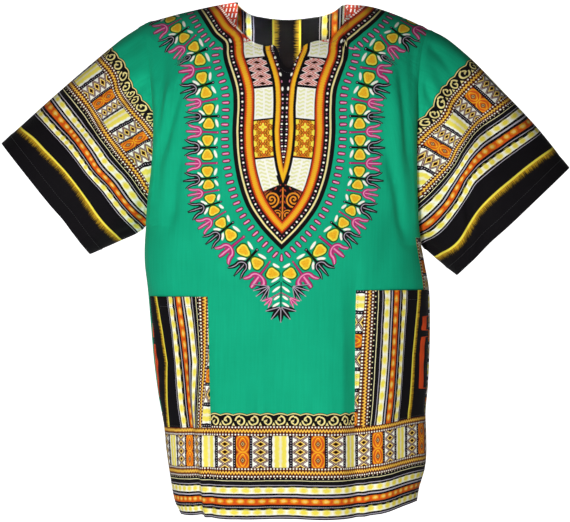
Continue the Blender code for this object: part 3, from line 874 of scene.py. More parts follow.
def cotton_weave():
    """Plain weave: its relief, a tint that is partly the unevenness of its dye and partly painted
    shade in the hollows of its crush creases, and how rough it is.
    """
    (u, v), send = new_group("cotton weave", "U V", "Relief Tint Rough")
    slub = noise(u, v, 0.7, 26.0) + noise(u, v, 26.0, 0.7)
    threads = u.wave(THREAD) * v.wave(THREAD)
    crush = noise(u, v, 34.0, 52.0, detail=4.0)
    # Relief, then the tint: the slub's uneven dye, plus painted shade that darkens the crush
    # creases where the bump lies low, then the roughness.
    send(threads.times(0.35, slub.times(0.5, crush * 9.0)),
         slub.times(0.10, crush * 0.12) + 0.84, slub.times(0.10, 0.74))


def border_print():
    """The hem, cuff and pocket border: stripes, cords, tiles and curls, by their depth."""
    (along, depth), send = new_group("border print", "Along Depth", "Color Cover")
    shake = noise(along, depth, 26.0, 19.0) - 0.5
    fine = noise(along, depth, 2.6, 1.5) - 0.5
    u, d = along + shake * 0.9, depth + shake * 1.3 + fine * 0.25
    colour = stripes(d, 240.0, """
        black 24.9 brown 34.7 black 76.8 brown 86.6 black 96 cream 97.3 black 102.3 slate 103.5
        black 106.5 white 115 black 117.9 slate 119.1 black 122 ember 130.5 black 133.5 slate
        134.7 black 138 white 146 black 148.6 slate 149.8 black 228.6 brown 229.6 flame 238
        black""")

    # the dashes of the white and orange stripes, dyed soft along their length
    from_middle = abs(d - ORANGE_MIDDLE)
    blot = oval(u.repeat(16.4), from_middle - 15.6, 6.4, 4.0) + fine
    bead = oval(u.repeat(15.2, 4.0), from_middle, 5.0, 2.8) + fine
    colour = layers(colour, ("lemon", blot.below(0.95, 0.8)),
                    ("yellow", bead.below(1.0, 0.8), 0.85), ("pale", bead.below(0.55, 0.5), 0.55))

    # two cords with rows of white dots on both sides
    off = abs(d - CORD_MIDDLE)
    dots = length(u.repeat(TOOTH), abs(off - CORD_OFF) - 5.4)
    zig = abs(u.repeat(TOOTH)) * 1.36 - 1.55
    cord = abs(off - CORD_OFF)
    zigzag = abs(off - CORD_OFF - zig)
    colour = layers(colour, ("umber", cord.below(7.2)), ("white", dots.below(1.2)),
                    ("apricot", zigzag.below(1.75) * cord.below(3.7)),
                    ("lemon", zigzag.below(0.7) * cord.below(3.2), 0.7),
                    ("cream", length(u.repeat(7.6), d - 93.9).below(0.75)))

    # tiles, lozenges and rails
    place = abs(u.repeat(TILE_REPEAT))
    beside = abs(place - 28.2)
    rail = abs(beside - 13.6)
    tiles = stripes(place, TILE_REPEAT, "white 12.3 black 16.8 white 39.6 black 44.2 amber")
    streak = abs(place + (d.wave(12.0) + d.wave(7.1)) * 0.3 - 5.1) + fine * 2
    tiles = layers(tiles, ("pale", place.below(3.6, 2.0), 0.5),
                   ("lemon", streak.below(3.3, 2.2), 0.95),
                   ("black", (place - abs(d.wave(22.6)) * 0.9).within(11.0, 12.6)),
                   ("grey", length(rail, d.repeat(3.6)).below(0.7)))
    lozenge = beside * (1 / 9.6) + abs(d.repeat(11.3, TILE_MIDDLE)) * (1 / 5.65)
    rings = (("umber", 1.42), ("blush", 1.20), ("umber", 1.10), ("pale", 0.84),
             ("yellow", 0.62), ("brown", 0.48), ("black", 0.34))
    tiles = layers(tiles, *((name, lozenge.below(size, 0.06)) for name, size in rings),
                   within=beside.below(11.1))
    aside = TILE_REPEAT / 2 - place
    up = abs(abs(d - TILE_MIDDLE) - 11.6)
    rounded = oval(aside, up, 9.4, 11.6)
    lens = aside * aside * (1 / 30.0) + up * (1 / 9.0)
    core = aside * (1 / 2.9) + up * (1 / 3.6)
    in_tile = aside.below(9.15)
    tiles = layers(tiles,
                   ("red", (aside - up).above(-6.0, 4.0) * lens.above(1.05, 0.1), 0.35, in_tile),
                   ("brown", rounded.above(1.22, 0.1), in_tile),
                   ("yellow", abs(rounded - 1.0).below(0.07, 0.1), in_tile, 0.8),
                   ("yellow", abs(lens - 0.92).below(0.10, 0.08), in_tile),
                   ("brown", core.below(1.35, 0.2), in_tile), ("pale", core.below(0.85, 0.3), 0.7),
                   ("brown", core.below(0.5, 0.2)))
    colour = paint(colour, tiles, d.within(33.2, 78.3))

    # curls under a scalloped line
    arch = u.wave(2 * CURL_PITCH, CURL_PITCH / 2).math("ABSOLUTE")
    line = d + arch * 2.2 - 3.6
    x, y = u.repeat(CURL_PITCH), (d - 11.2) * u.repeat(2 * CURL_PITCH).math("SIGN")
    away = length(x, y)
    turn = circling(x, y) + 0.5
    arm = abs(away - (6.4 - turn * turn * turn * 3.4))
    tooth = (abs(u.repeat(CURL_PITCH, CURL_PITCH / 2)) - (d - 13.6) * 0.5).below(0.0)
    scroll = layers("black", *(("pale", mask) for mask in (
        line.within(-0.7, 0.7), arm.below(1.15) * away.below(8.6),
        length(x + 0.9, y - 0.6).below(1.5), tooth)))
    colour = paint(colour, scroll, d.below(18.0))

    # the yellow line and its frayed side
    fray = noise(along, depth, 0.55, 16.0, detail=3.0)
    frayed = (depth - YELLOW_LINE - (fray - 0.33) * 24.0).below(0.0, 7.0)
    colour = layers(colour, ("yellow", frayed * depth.within(YELLOW_LINE, 193, 3.0), 0.75),
                    ("lemon", depth.within(178.0, 181.2)))
    send(colour, line.above(-1.7))


def spiral(x, y, pitch, reach):
    """A coil of thread about the origin."""
    away = length(x, y)
    return abs((away * (1 / pitch) - circling(x, y)) % 1.0 - 0.5).below(0.24, 0.12) \
        * away.below(reach)


def plaque_print():
    """The plaque: lines, a row of dots, an orange braid and a column of tiles."""
    (along, depth, across, up), send = new_group(
        "plaque print", "Along Depth Across Up", "Color Cover")
    shake = noise(across, up, 22.0, 22.0) - 0.5
    fine = noise(across, up, 1.8, 1.8) - 0.5
    a, d = along, depth + shake * 0.9 + fine * 0.3
    colour = stripes(d, 160.0, """
        black 5.8 pale 8.5 black 16 brown 17.3 red 19 orange 26.6 red 28.2 brown 29.4 black 60.7
        orange 67.3 brown 68.6 black""")
    ribs = a.wave(3.1) * 0.5 + fine
    colour = layers(colour, ("yellow", (abs(d - 22.8) + ribs * 1.5).below(2.6, 2.4), 0.8),
                    ("yellow", (abs(d - 63.8) + ribs * 0.5).below(2.2, 1.6)),
                    ("cream", abs(d - 6.6).below(0.6, 0.6), 0.5))
    for row, pitch, radius in ((12.9, 11.2, 1.55), (70.6, 10.3, 1.5)):
        colour = layers(colour, ("white", length(a.repeat(pitch), d - row).below(radius)),
                        ("pink", length(a.repeat(pitch, pitch / 2), d - row).below(0.9), 0.6))

    # the tile column: waves, lozenges, waves, flowers, waves
    aside = d - PLAQUE_COLUMN
    w = aside.times(0.1, up * -1.0)
    tile = stripes(w, 300.0, """
        white 71.5 black 74.5 blush 114.7 black 117.5 white 162 black 165 orange 217 black 220
        white""")
    column = abs(abs(aside) - 6.2)
    wave = abs((w + aside.wave(11.0) * 1.3).repeat(5.6)) + fine * 1.4
    in_waves = column.below(4.9) * (w.within(222.0, 300.0) + w.within(119.3, 160.3)
                                    + w.below(69.8)) * a.within(TIP_BELOW, 321.0)
    tile = layers(tile, ("red", a.above(321.5)), ("black", a.below(112.0) * aside.above(11.2)),
                  ("lime", wave.below(1.3, 1.7), in_waves, 0.75))
    # lozenges
    far, step = abs(aside), abs((up + 91.3).repeat(10.4))
    diamond = far * (1 / 11.0) + step * (1 / 5.2)
    tile = layers(tile, ("black", diamond.above(1.62, 0.08)),
                  ("salmon", abs(diamond - 1.20).below(0.11, 0.08)),
                  ("salmon", abs(diamond - 0.78).below(0.12, 0.08)),
                  ("brown", diamond.below(0.50, 0.06)), ("black", diamond.below(0.25, 0.06)),
                  within=w.within(74.7, 114.5))
    # flowers in a mosaic
    rise = (up + 191.0).repeat(15.9)
    petals = length(aside, rise)
    speck = noise(abs(aside), abs(rise), 1.5, 1.5, detail=1.0)
    corner = length(abs(aside) - 13.0, abs(rise) - 7.9)
    lobes = petals - (aside.math("ARCTAN2", rise) * 4.0).math("COSINE") * 1.5
    tile = layers(tile, ("brown", speck.above(0.50, 0.08), 0.8),
                  ("yellow", speck.below(0.42, 0.08)),
                  ("red", abs(lobes - 5.6).below(0.7), 0.8), ("lemon", lobes.below(4.6)),
                  ("yellow", petals.below(1.3)), ("lemon", corner.below(4.0)),
                  within=w.within(165.2, 216.8))
    # strokes beside the neck
    stroke = abs(across.repeat(5.6)) + fine * 0.8
    stroke = stroke + abs((up + 2.0).repeat(11.6)).above(4.4, 1.2) * 3.0
    in_fan = a.above(FAN_ABOVE)
    tile = layers(tile, ("brown", stroke.below(1.9), in_fan, d.above(35.0), 0.4),
                  ("white", stroke.below(1.0), in_fan, d.above(35.5)),
                  ("white", length(a.repeat(5.2), d - 33.0).below(1.75), in_fan))
    # scrolls at the tip
    x = abs(across)
    tip = reduce(Value.most, (spiral(x - aside_by, up + down_by, pitch, reach)
                              for aside_by, down_by, pitch, reach in (
                                  (16.0, 279.0, 5.0, 12.5), (7.5, 301.0, 3.8, 7.2),
                                  (33.5, 262.0, 4.2, 7.0))))
    chevron = abs((x * 1.1 - up - 318.0).repeat(5.0)).below(0.75) * (x * 1.1 - up).above(313.0)
    stem = x.below(1.0) * up.within(-312.0, -262.0)
    spark = length(x.repeat(7.5, 3.0), (up + x * 0.8).repeat(8.5)).below(1.5, 0.8)
    in_tip = a.below(TIP_BELOW)
    tile = layers(tile, ("black", in_tip), ("salmon", x.above(26.0, 14.0), in_tip, 0.5),
                  ("salmon", spark, in_tip, 0.7), ("orange", tip.most(stem).most(chevron), in_tip),
                  ("yellow", (tip + fine).above(1.05, 0.5), in_tip, 0.6))
    colour = paint(colour, tile, d.within(30.6, 57.2) * a.above(91.0)
                   + d.above(30.6) * d.below(60.6) * a.below(91.0))
    send(colour, depth.above(0.0))


def leaf(x, y, aim, tall, wide):
    """A leaf or petal about the origin that points along an aim in degrees from x."""
    aim = np.radians(aim)
    return oval(x * np.cos(aim) + y * np.sin(aim), y * np.cos(aim) - x * np.sin(aim), tall,
                wide).below(1.0, 0.3)


def chain_print():
    """Flowers, petals, stems and three-pronged buds along a line, by run and distance."""
    (run, off), send = new_group("flower chain", "Run Off",
                                 "Flower Core Edge Petal Rim Dark Line Pink")
    fine = noise(run, off, 2.2, 2.2) - 0.5
    c = abs(run.repeat(STEM_PITCH))
    near_axis = abs(run).above(FLOWER_HALF, 0.1)
    x, y = c - FLOWER_HALF, off
    away = length(x, y)
    k = (x * -1.0) / (away + 0.01)
    gap = away - (k * k * k * 3.6 - k * 2.3 + 7.6 + fine * 0.8)
    outer, inner = (leaf(off - out, c - at, aim, tall, 2.0) for at, out, aim, tall in (
        (6.6, 10.3, 42.0, 5.5), (9.6, -11.9, -72.0, 5.8)))
    petals = (outer * near_axis).most(inner)
    side = FLOWER_HALF - abs(x)                   # distance from the nearest stem
    pink = x.above(0.0, 0.1)
    stem = side.below(1.0) * off.within(-13.0, 16.0)
    bulb = length(side, off + 13.6)
    # buds: an arch with a prong in its middle, its side prongs spread
    rise = off + (pink * 1.7 - 12.2)
    flare = (rise - 9.0).most(0.0)
    spread_x = side - flare * flare.times(0.022, 0.12)
    arch = abs(length(spread_x, (rise - 7.5).least(0.0) * (6.6 / 7.5)) - 6.6)
    bar = arch.least(side.most(3.0 - rise))
    thin = ((rise - 15.0) * 0.16).most(0.0)
    tip = 21.0 - pink * 2.2 + side.below(3.0, 1.0) * 2.6
    reach = rise.below(tip) * rise.above(-2.8)
    dark = (bar + thin).below(2.1) * reach
    rim = (bar + thin).below(2.6) * rise.below(tip + 1.0) * rise.above(-3.4)
    filled = oval(side, rise - 3.6, 5.4, 5.0).below(1.0, 0.1) * rise.above(-1.5)
    line = (bar + thin * 0.4 + fine * 0.3).below(pink * 0.28 + 0.50, 0.4) * reach
    keep = (1.0 - pink).math("MULTIPLY_ADD", near_axis - 1.0, 1.0, clamp=True)
    send(gap.below(0.0), (gap + fine * 5.0).below(-2.2, 1.6), gap.below(1.9), petals,
         rim.most(side.below(1.7) * off.within(-14.0, 16.0)).most(bulb.below(2.1)) * keep,
         dark.most(filled * 0.9).most(stem).most(bulb.below(1.5)) * keep,
         line.most(bulb.below(0.7)) * keep, pink)


def fan(x, y, aim, spacing, reach, spread_of, prongs=0.6):
    """A small bud with prongs that spread from the origin: its body and its lines."""
    aim, spacing, spread_of = np.radians((aim, spacing, spread_of)).tolist()
    away = length(x, y)
    turn = (y * np.cos(aim) - x * np.sin(aim)).math("ARCTAN2", x * np.cos(aim) + y * np.sin(aim))
    swing = abs(turn.repeat(spacing))
    spread_mask = abs(turn).below(spread_of, 0.1)
    body = (away + swing * (reach * 0.9 / spacing)).below(reach) * spread_mask
    line = (swing * away).below(prongs, 0.3) * away.within(1.5, reach * 0.97) * spread_mask
    return body, line


def spray_print():
    """The spray of leaves and buds that hangs under the plaque's tip."""
    (across, up), send = new_group("spray", "Across Up", "Leaf Dark Rose Line Vein")
    x = abs(across)
    leaves = reduce(Value.most, (leaf(x - at, up - level, aim, tall, 1.75)
                                 for at, level, tall, aim in (
                                     (8.3, -394.5, 6.8, -33.0), (7.0, -408.3, 6.8, -37.0),
                                     (6.2, -420.8, 4.9, -35.0), (7.0, -430.6, 5.8, -31.0))))
    stem = x.below(0.75) * up.within(-436.0, -398.0)
    twig = abs(up + 395.5 + x * 0.63).below(0.9) * x.within(2.0, 18.0)
    rose_twig = abs(up + 412.8 + x * 0.56).below(0.9) * x.within(1.0, 14.0)
    low, low_line = fan(across, up + 433.5, -90.0, 37.0, 23.5, 95.0)
    out, out_line = fan(x - 16.0, up + 403.5, -37.0, 21.0, 26.0, 44.0)
    rose, rose_line = fan(x - 12.3, up + 420.0, -44.0, 24.0, 16.5, 40.0)
    send(leaves, low.most(out).most(stem).most(twig), rose.most(rose_twig),
         low_line.most(out_line), rose_line)


# ---------------------------------------------------------------- materials
WEAVE_DEPTH = 0.00010
FADED, FADE_SHARE = (0.62, 0.60, 0.56, 1.0), 0.22     # the cloth's wrong side
GREEN_LIGHT, GREEN_DEEP = (0.0070, 0.4550, 0.2420, 1.0), (0.0040, 0.3700, 0.1920, 1.0)
TWIST_SCALE = 900.0


def numbers(tree, name):
    """The three numbers of a mesh attribute."""
    node = add_node(tree, "Attribute", attribute_name=name)
    split = add_node(tree, "SeparateXYZ", {0: node.outputs["Vector"]})
    return [Value(split.outputs[axis]) for axis in "XYZ"]


def new_material(name):
    """A material with its tree and its shader's inputs."""
    material = bpy.data.materials.new(name)
    material.use_nodes = True
    return material, material.node_tree, material.node_tree.nodes["Principled BSDF"].inputs


def cotton(name, draw):
    """Printed cotton: the drawn colour on a woven ground, paler on its wrong side."""
    _, tree, inputs = new_material(name)
    u, v, inside = numbers(tree, "cloth")
    weave = use("cotton weave", u, v)
    colour = paint(draw(tree), FADED, inside.above(0.5, 0.2) * FADE_SHARE)
    # Multiply by the weave's tint: its uneven dye, and painted shade in the hollows of its crush
    # creases.
    toned = add_node(tree, "Mix", {"Factor": 1.0, "A": colour, "B": weave["Tint"]},
                     data_type="RGBA", blend_type="MULTIPLY")
    bump = add_node(tree, "Bump", {"Distance": WEAVE_DEPTH, "Height": weave["Relief"]})
    for slot, value in (("Base Color", toned.outputs["Result"]), ("Roughness", weave["Rough"]),
                        ("Normal", bump.outputs["Normal"]), ("Specular IOR Level", 0.08),
                        ("Sheen Weight", 0.02), ("Sheen Roughness", 0.5)):
        feed(value, inputs[slot])


def green_ground(tree):
    """The plain green ground with the faint streaks of its dye."""
    u, v, _ = numbers(tree, "cloth")
    streak, cloud = noise(u, v, 3.0, 70.0), noise(u, v, 60.0, 60.0)
    return paint(GREEN_LIGHT, GREEN_DEEP, (streak.times(0.5, cloud * 0.5) - 0.5) * 1.9 + 0.5)


def with_border(tree, colour):
    """The border over a ground."""
    along, down, _ = numbers(tree, "border")
    border = use("border print", along, down)
    return paint(colour, border["Color"], border["Cover"])


def draw_border(tree):
    """A piece cut from the border, green above it."""
    return with_border(tree, green_ground(tree))


def draw_back(tree, spray=False):
    """A panel: green, then the chain, the dashes, the plaque and the hem border."""
    colour = green_ground(tree)
    run, off, across = numbers(tree, "chain")
    ring, ring_off, up = numbers(tree, "dashes")
    chain = use("flower chain", run, off)
    edge, bold, light = (paint(dark, bright, chain["Pink"]) for dark, bright in (
        ("black", "plum"), ("black", "magenta"), ("grey", "pink")))
    colour = layers(colour, ("white", chain["Petal"]), (edge, chain["Rim"]),
                    (bold, chain["Dark"]), (light, chain["Line"]), ("moss", chain["Edge"]),
                    ("lemon", chain["Flower"]), ("yellow", chain["Core"], chain["Flower"]),
                    ("orange", noise(run, off, 1.5, 1.5).above(0.56, 0.1), chain["Core"],
                     chain["Flower"], 0.55))
    if spray:
        part = use("spray", across, up)
        colour = layers(colour, ("black", part["Dark"]), ("grey", part["Line"]),
                        ("magenta", part["Rose"]), ("pink", part["Vein"]), ("white", part["Leaf"]))
    narrow = 1.0 + (ring_off * 0.05).most(0.0)
    dash = length(ring.repeat(DASH_PITCH), (abs(ring_off) - 3.5).most(0.0)) * narrow
    colour = layers(colour, *((name, dash.below(size)) for name, size in (
        ("plum", 3.0), ("magenta", 1.7), ("pink", 1.2))))
    a, depth, _ = numbers(tree, "plaque")
    plaque = use("plaque print", a, depth, across, up)
    return with_border(tree, paint(colour, plaque["Color"], plaque["Cover"]))


def draw_front(tree):
    """The front, with the spray below its plaque."""
    return draw_back(tree, spray=True)


def thread(name, colour):
    """Polyester sewing thread with its twist, and a painted highlight in pale bands along the
    twist.
    """
    _, tree, inputs = new_material(name)
    place = add_node(tree, "TexCoord")
    twist = add_node(tree, "TexWave", {"Scale": TWIST_SCALE, "Vector": place.outputs["Object"]},
                     bands_direction="DIAGONAL")
    fall = Value(twist.outputs["Fac"])
    # Pale bands along the twist: a painted highlight where light would catch the thread's plies.
    pale = tuple(min(1.0, 2.2 * part + 0.02) for part in colour)
    feed(paint((*colour, 1.0), (*pale, 1.0), fall), inputs["Base Color"])
    feed(fall * 0.2 + 0.45, inputs["Roughness"])


# ---------------------------------------------------------------- cloth meshes
CLOTH, TURN_ADDS = 0.0008, 0.0008     # printed cotton, and what its turned edges add
HEM_TURN, CUFF_TURN, NECK_TURN, SLIT_TURN, FACING_TURN = 0.020, 0.020, 0.008, 0.010, 0.006
TURN_RELIEF = 0.00045             # how far a turned edge stands out on the right side
SEAM_PUFF, SEAM_REACH, PUFF_WIDTH = 0.0009, 0.007, 0.0035
PUCKER, PUCKER_WIDTH = 0.00035, 0.0065    # ripples along a line of stitches
UNDERARM_SEAM, UNDERARM_WIDTH = 0.0007, 0.0022
SLEEVE_RADIUS = 0.085
POCKET_CELLS, POCKET_THICK = (64, 110), 0.00065
POCKET_STAND, POCKET_PUFF, POCKET_GAPE, POCKET_BEAD = 0.0009, 0.0011, 0.0022, 0.0004
FACING_SHARE = 0.283              # share of the back above the underarm that it covers
FACING_CELLS, FACING_THICK, FACING_GAP = (96, 54), 0.0006, 0.00075
SHARP = np.radians(62.0)
FAR = 1.0                         # stands for no edge near by

# Each sleeve's side, edge and print, and each pocket's ends, print and the middle of a tile.
SLEEVES = {"sleeve_left": (LEFT, SLEEVE_LEFT, SLEEVE_LEFT_PULL),
           "sleeve_right": (RIGHT, SLEEVE_RIGHT, SLEEVE_RIGHT_PULL)}
POCKETS = {"pocket_left": ((-0.1950, -0.1130), POCKET_LEFT_PRINT, 476.8),
           "pocket_right": ((0.1000, 0.1950), POCKET_RIGHT_PRINT, 426.8)}


def place(name, mesh, material):
    """Put a mesh in the scene as a piece that rides on the shirt."""
    piece = bpy.data.objects.new(name, mesh)
    bpy.context.scene.collection.objects.link(piece)
    mesh.materials.append(bpy.data.materials[material])
    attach(piece, BODY_OF_ALL)
    return piece


def shell(name, node, cloth, grid, fields, thick, flip=False, closed=False, keep=None):
    """A thin closed shell of cloth: the grid is its right side, and it thickens inwards."""
    points, out = grid["points"], grid["out"]
    rows, columns = points.shape[:2]
    number = np.arange(rows * columns).reshape(rows, columns)
    if closed:
        number = np.concatenate([number, number[:, :1]], axis=1)
    quads = np.stack((number[:-1, :-1], number[1:, :-1], number[1:, 1:], number[:-1, 1:]),
                     axis=-1).reshape(-1, 4)
    if keep is not None:
        quads = quads[keep.ravel()]
    used, quads = np.unique(quads, return_inverse=True)
    quads = quads.reshape(-1, 4)
    outer = points.reshape(-1, 3)[used]
    inward = (out * np.broadcast_to(thick, (rows, columns))[:, :, None]).reshape(-1, 3)[used]
    count = len(outer)
    edges = np.concatenate([quads[:, [k, (k + 1) % 4]] for k in range(4)])
    start, end = edges.T
    rim = edges[~np.isin(start * count + end, end * count + start)]     # only one face has these
    rim = np.concatenate([rim[:, ::-1], rim + count], axis=1)
    faces = np.concatenate([quads, quads[:, ::-1] + count, rim])
    if flip:
        faces = faces[:, ::-1]
    mesh = bpy.data.meshes.new(name)
    mesh.from_pydata(np.concatenate([outer, outer - inward]).tolist(), [], faces.tolist())
    mesh.shade_smooth()
    mesh.set_sharp_from_angle(angle=SHARP)
    for label, values in fields.items():
        both = np.tile(values.reshape(-1, 3)[used], (2, 1))
        if label == "cloth":
            both[count:, 2] = 1.0             # the third number says which side of the cloth
        layer = mesh.attributes.new(label, "FLOAT_VECTOR", "POINT")
        layer.data.foreach_set("vector", both.astype(np.float32).ravel())
    piece = place(name, mesh, f"printed_{cloth}")
    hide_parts(node)


def thickness():
    """The cloth's thickness as it is set, free of the setting's single precision."""
    return round(bpy.context.scene.shirt_cloth.thickness, 6)


def neck_distance(grid, neck):
    """How far each point is from the neckline, roughly, along the cloth."""
    line = np.linspace(NECK_LEFT, NECK_RIGHT, 90)
    edge = panel_point(line, settle(line, lambda x: upper_edge(x, neck)), grid["side"])
    gap = np.full(grid["level"].shape, FAR)
    near = (grid["level"] > neck["z"].min() - 0.03) & at_neck(grid["nominal"][0], 0.02)[None, :]
    spots = grid["points"][near]
    gap[near] = np.linalg.norm(spots[:, None] - edge[None], axis=2).min(axis=1)
    return gap


def turned(edge_distance, width):
    """Share of the relief of a turned edge: full over its width, then a soft step."""
    return 1 - ease(edge_distance, width - 0.0015, width + 0.0025)


def puckers(along, away, seed):
    """Uneven ripples beside a line of stitches."""
    ripple = np.sin(along / 0.0052 + 2.3 * np.sin(along / 0.031 + seed) + seed)
    ripple = ripple + 0.6 * np.sin(along / 0.0093 + 1.7 * seed + 1.1 * np.sin(along / 0.047))
    return PUCKER * ripple * hump(away, PUCKER_WIDTH)


def seam_puff(away, along, first, second, share=1.0):
    """The swell of the cloth beside a seam, uneven in two waves along it."""
    swell = SEAM_PUFF * (hump(away - SEAM_REACH, PUFF_WIDTH) * share)
    return swell * (1 + 0.5 * np.sin(along / first) * np.sin(along / second))


def dress_panel(grid, neck, faced):
    """Give a panel its turned edges, puckers and seam puffs; returns its thicknesses."""
    points, level, nominal = grid["points"], grid["level"], grid["nominal"]
    hem = level - HEM_Z
    side_gap = BODY_HALF - np.abs(nominal)
    neck_gap = neck_distance(grid, neck)
    low_turns = np.maximum(turned(hem, HEM_TURN),
                           turned(np.where(level < SLIT_TOP_Z, side_gap, FAR), SLIT_TURN))
    fold = np.maximum(low_turns, turned(neck_gap, NECK_TURN))
    x = points[:, :, 0]
    relief = TURN_RELIEF * fold + puckers(x, hem - HEM_TURN, 0.7 + grid["side"])
    relief = relief + 0.5 * puckers(x, neck_gap - NECK_TURN, 2.1) * (neck_gap < 0.05)
    share = level > SLIT_TOP_Z
    if grid["side"] == FRONT:
        share = share * ease(np.abs(level - (POCKET_TOP_Z + POCKET_LOW_Z) / 2), 0.106, 0.116)
    ridge = hump(run_length(points, 0) - SEAM_REACH, PUFF_WIDTH) * ~at_neck(nominal)
    relief = relief + seam_puff(side_gap, level, 0.0047, 0.021, share) + SEAM_PUFF * ridge
    grid["points"] = points + grid["out"] * relief[:, :, None]
    return thickness() + TURN_ADDS * (low_turns if faced else fold)


def dress_sleeve(grid):
    """Give a sleeve its turned cuff, puckers and seam puff; returns its thicknesses."""
    run = run_length(grid["points"], 0)
    cuff = run[-1] - run
    around = np.radians(grid["turn"])[None, :] * SLEEVE_RADIUS
    fold = turned(cuff, CUFF_TURN)
    relief = TURN_RELIEF * fold + puckers(around, cuff - CUFF_TURN, 1.3 + grid["side"])
    relief = relief + seam_puff(run, around, 0.0051, 0.019)
    relief = relief - UNDERARM_SEAM * hump(around - np.pi * SLEEVE_RADIUS, UNDERARM_WIDTH)
    grid["points"] = grid["points"] + grid["out"] * relief[:, :, None]
    return thickness() + TURN_ADDS * fold


def scoop_kept(grid):
    """The front's cells that are left beside its neckline."""
    x = grid["nominal"][0]
    row = np.arange(grid["level"].shape[0] - 1)
    return ~((at_neck(x[:-1]) & at_neck(x[1:]))[None, :] & (row[:, None] < FRONT_SCOOP))


def unit_square(cells):
    """Shares across and down a piece with that many columns and rows."""
    return np.linspace(0, 1, cells[0] + 1)[None, :], np.linspace(0, 1, cells[1] + 1)[:, None]


def pocket_size(ends):
    """The level of a pocket's mouth, its width and its height."""
    top = POCKET_TOP_Z + POCKET_RISE * (ends[0] > 0)
    return top, ends[1] - ends[0], top - POCKET_LOW_Z


def pocket(ends, marks, phase):
    """A patch pocket: sewn flat on three sides, a little full, its mouth slightly open."""
    u, v = unit_square(POCKET_CELLS)
    top, width, height = pocket_size(ends)
    across = ends[0] + width * u + 0 * v
    level = top + (POCKET_LOW_Z - top) * v + 0 * u
    edge = np.minimum(np.minimum(u, 1 - u) * width, (1 - v) * height)
    full = POCKET_PUFF * ease(edge, 0.002, 0.028) * ease(v, 0.0, 0.2)
    gape = POCKET_GAPE * np.sin(np.pi * u) ** 1.3 * (1 - ease(v, 0.0, 0.30))
    ripple = puckers(level + across, edge - 0.004, 1.0 + ends[0] * 20)
    offset = (POCKET_STAND + POCKET_BEAD * ease(edge, 0.0008, 0.0045) + full + gape
              + ripple * (1 - ease(edge, 0.01, 0.02))
              + POCKET_BEAD * (1 - ease(v * height, 0.014, 0.018)))
    grid = patch(across, level, FRONT_FOLDS, FRONT, offset)
    depth = []
    for down in v[:, 0]:
        places = [np.interp(down, (0.0, 0.5, 1.0), lines) for lines in
                  zip(marks["mouth"], marks["middle"], marks["low"])]
        depth.append(np.interp(u[0], places, marks["depth"]))
    depth = np.array(depth)
    first, stop, again, last = POCKET_RED
    red = ((v > first) & (v < stop)) | ((v > again) & (v < last))
    depth = np.where((depth > LAST_BLACK) & ~red, LAST_BLACK, depth)
    return grid, {"cloth": field(across * MM, level * MM),
                  "border": field((level * MM + phase) / POCKET_STRETCH, depth)}


def facing():
    """The facing inside the back of the neck."""
    u, v = unit_square(FACING_CELLS)
    nominal = np.linspace(NECK_LEFT, NECK_RIGHT, u.size)
    top = settle(nominal, lambda x: upper_edge(x, BACK_NECK))
    low = top + (UNDERARM_Z + UNDERARM_TILT * nominal - top) * FACING_SHARE
    level = top + (low - top) * v
    across = nominal[None, :] + 0 * v
    gap = np.minimum((1 - v) * (top - low), np.minimum(across - NECK_LEFT, NECK_RIGHT - across))
    offset = 0.6 * puckers(across, gap - FACING_TURN, 3.0) \
        - (thickness() + FACING_GAP + 0.0003 * turned(gap, FACING_TURN))
    grid = patch(across, level, BACK_FOLDS, BACK, offset)
    grid["out"] = -grid["out"]
    x = grid["points"][:, :, 0] * MM
    return grid, {"cloth": field(x, level * MM),
                  "border": field(level * MM, FACING_DEPTH - np.abs(x + 2.0))}


# ---------------------------------------------------------------- lines of stitches
STITCH_PITCH, STITCH_LONG, STITCH_RADIUS = 0.0034, 0.0024, 0.00027
STITCH_RISE, STITCH_SIDES = 0.0001, 6
STITCH_FORM = np.array([          # along, girth and height of each ring of a stitch
    (-0.5, 0.35, -1.2), (-0.40, 0.85, -0.3), (0.0, 1.0, 0.6), (0.40, 0.85, -0.3),
    (0.5, 0.35, -1.2)])
HEM_LINE, CUFF_LINE, NECK_LINE, SLIT_LINE = 0.0180, 0.0180, 0.0065, 0.0080
POCKET_LINE, FACING_LINE, MOUTH_LINE = 0.0022, 0.0040, 0.0140
SLIT_LINE_TOP, SLIT_LINE_LOW = SLIT_TOP_Z - 0.004, HEM_Z + 0.002
FACING_HIGH = 0.09


def sample(grid, row, column):
    """Points and normals at fractional rows and columns of a grid."""
    rows, columns = grid["points"].shape[:2]
    top = np.clip(np.floor(row).astype(int), 0, rows - 2)
    left = np.clip(np.floor(column).astype(int), 0, columns - 2)
    v, u = (row - top)[:, None], (column - left)[:, None]
    found = []
    for values in (grid["points"], grid["out"]):
        upper, lower = (values[at, left] * (1 - u) + values[at, left + 1] * u
                        for at in (top, top + 1))
        found.append(upper * (1 - v) + lower * v)
    return found


def column_at(grid, nominal):
    return np.interp(nominal, grid["nominal"][0], np.arange(grid["nominal"].shape[1]))


def row_at(grid, column, level):
    levels = grid["level"][:, int(round(column))]
    return np.interp(-level, -levels, np.arange(len(levels)))


def across_panel(grid, level, inset):
    """A line across a panel at one level, from side to side."""
    column = column_at(grid, np.linspace(-BODY_HALF + inset, BODY_HALF - inset, 500))
    return sample(grid, np.array([row_at(grid, k, level) for k in column]), column)


def down_panel(grid, nominal, high, low):
    """A line down a panel beside its edge."""
    column = column_at(grid, nominal)
    row = row_at(grid, column, np.linspace(high, low, 120))
    return sample(grid, row, np.full(len(row), column))


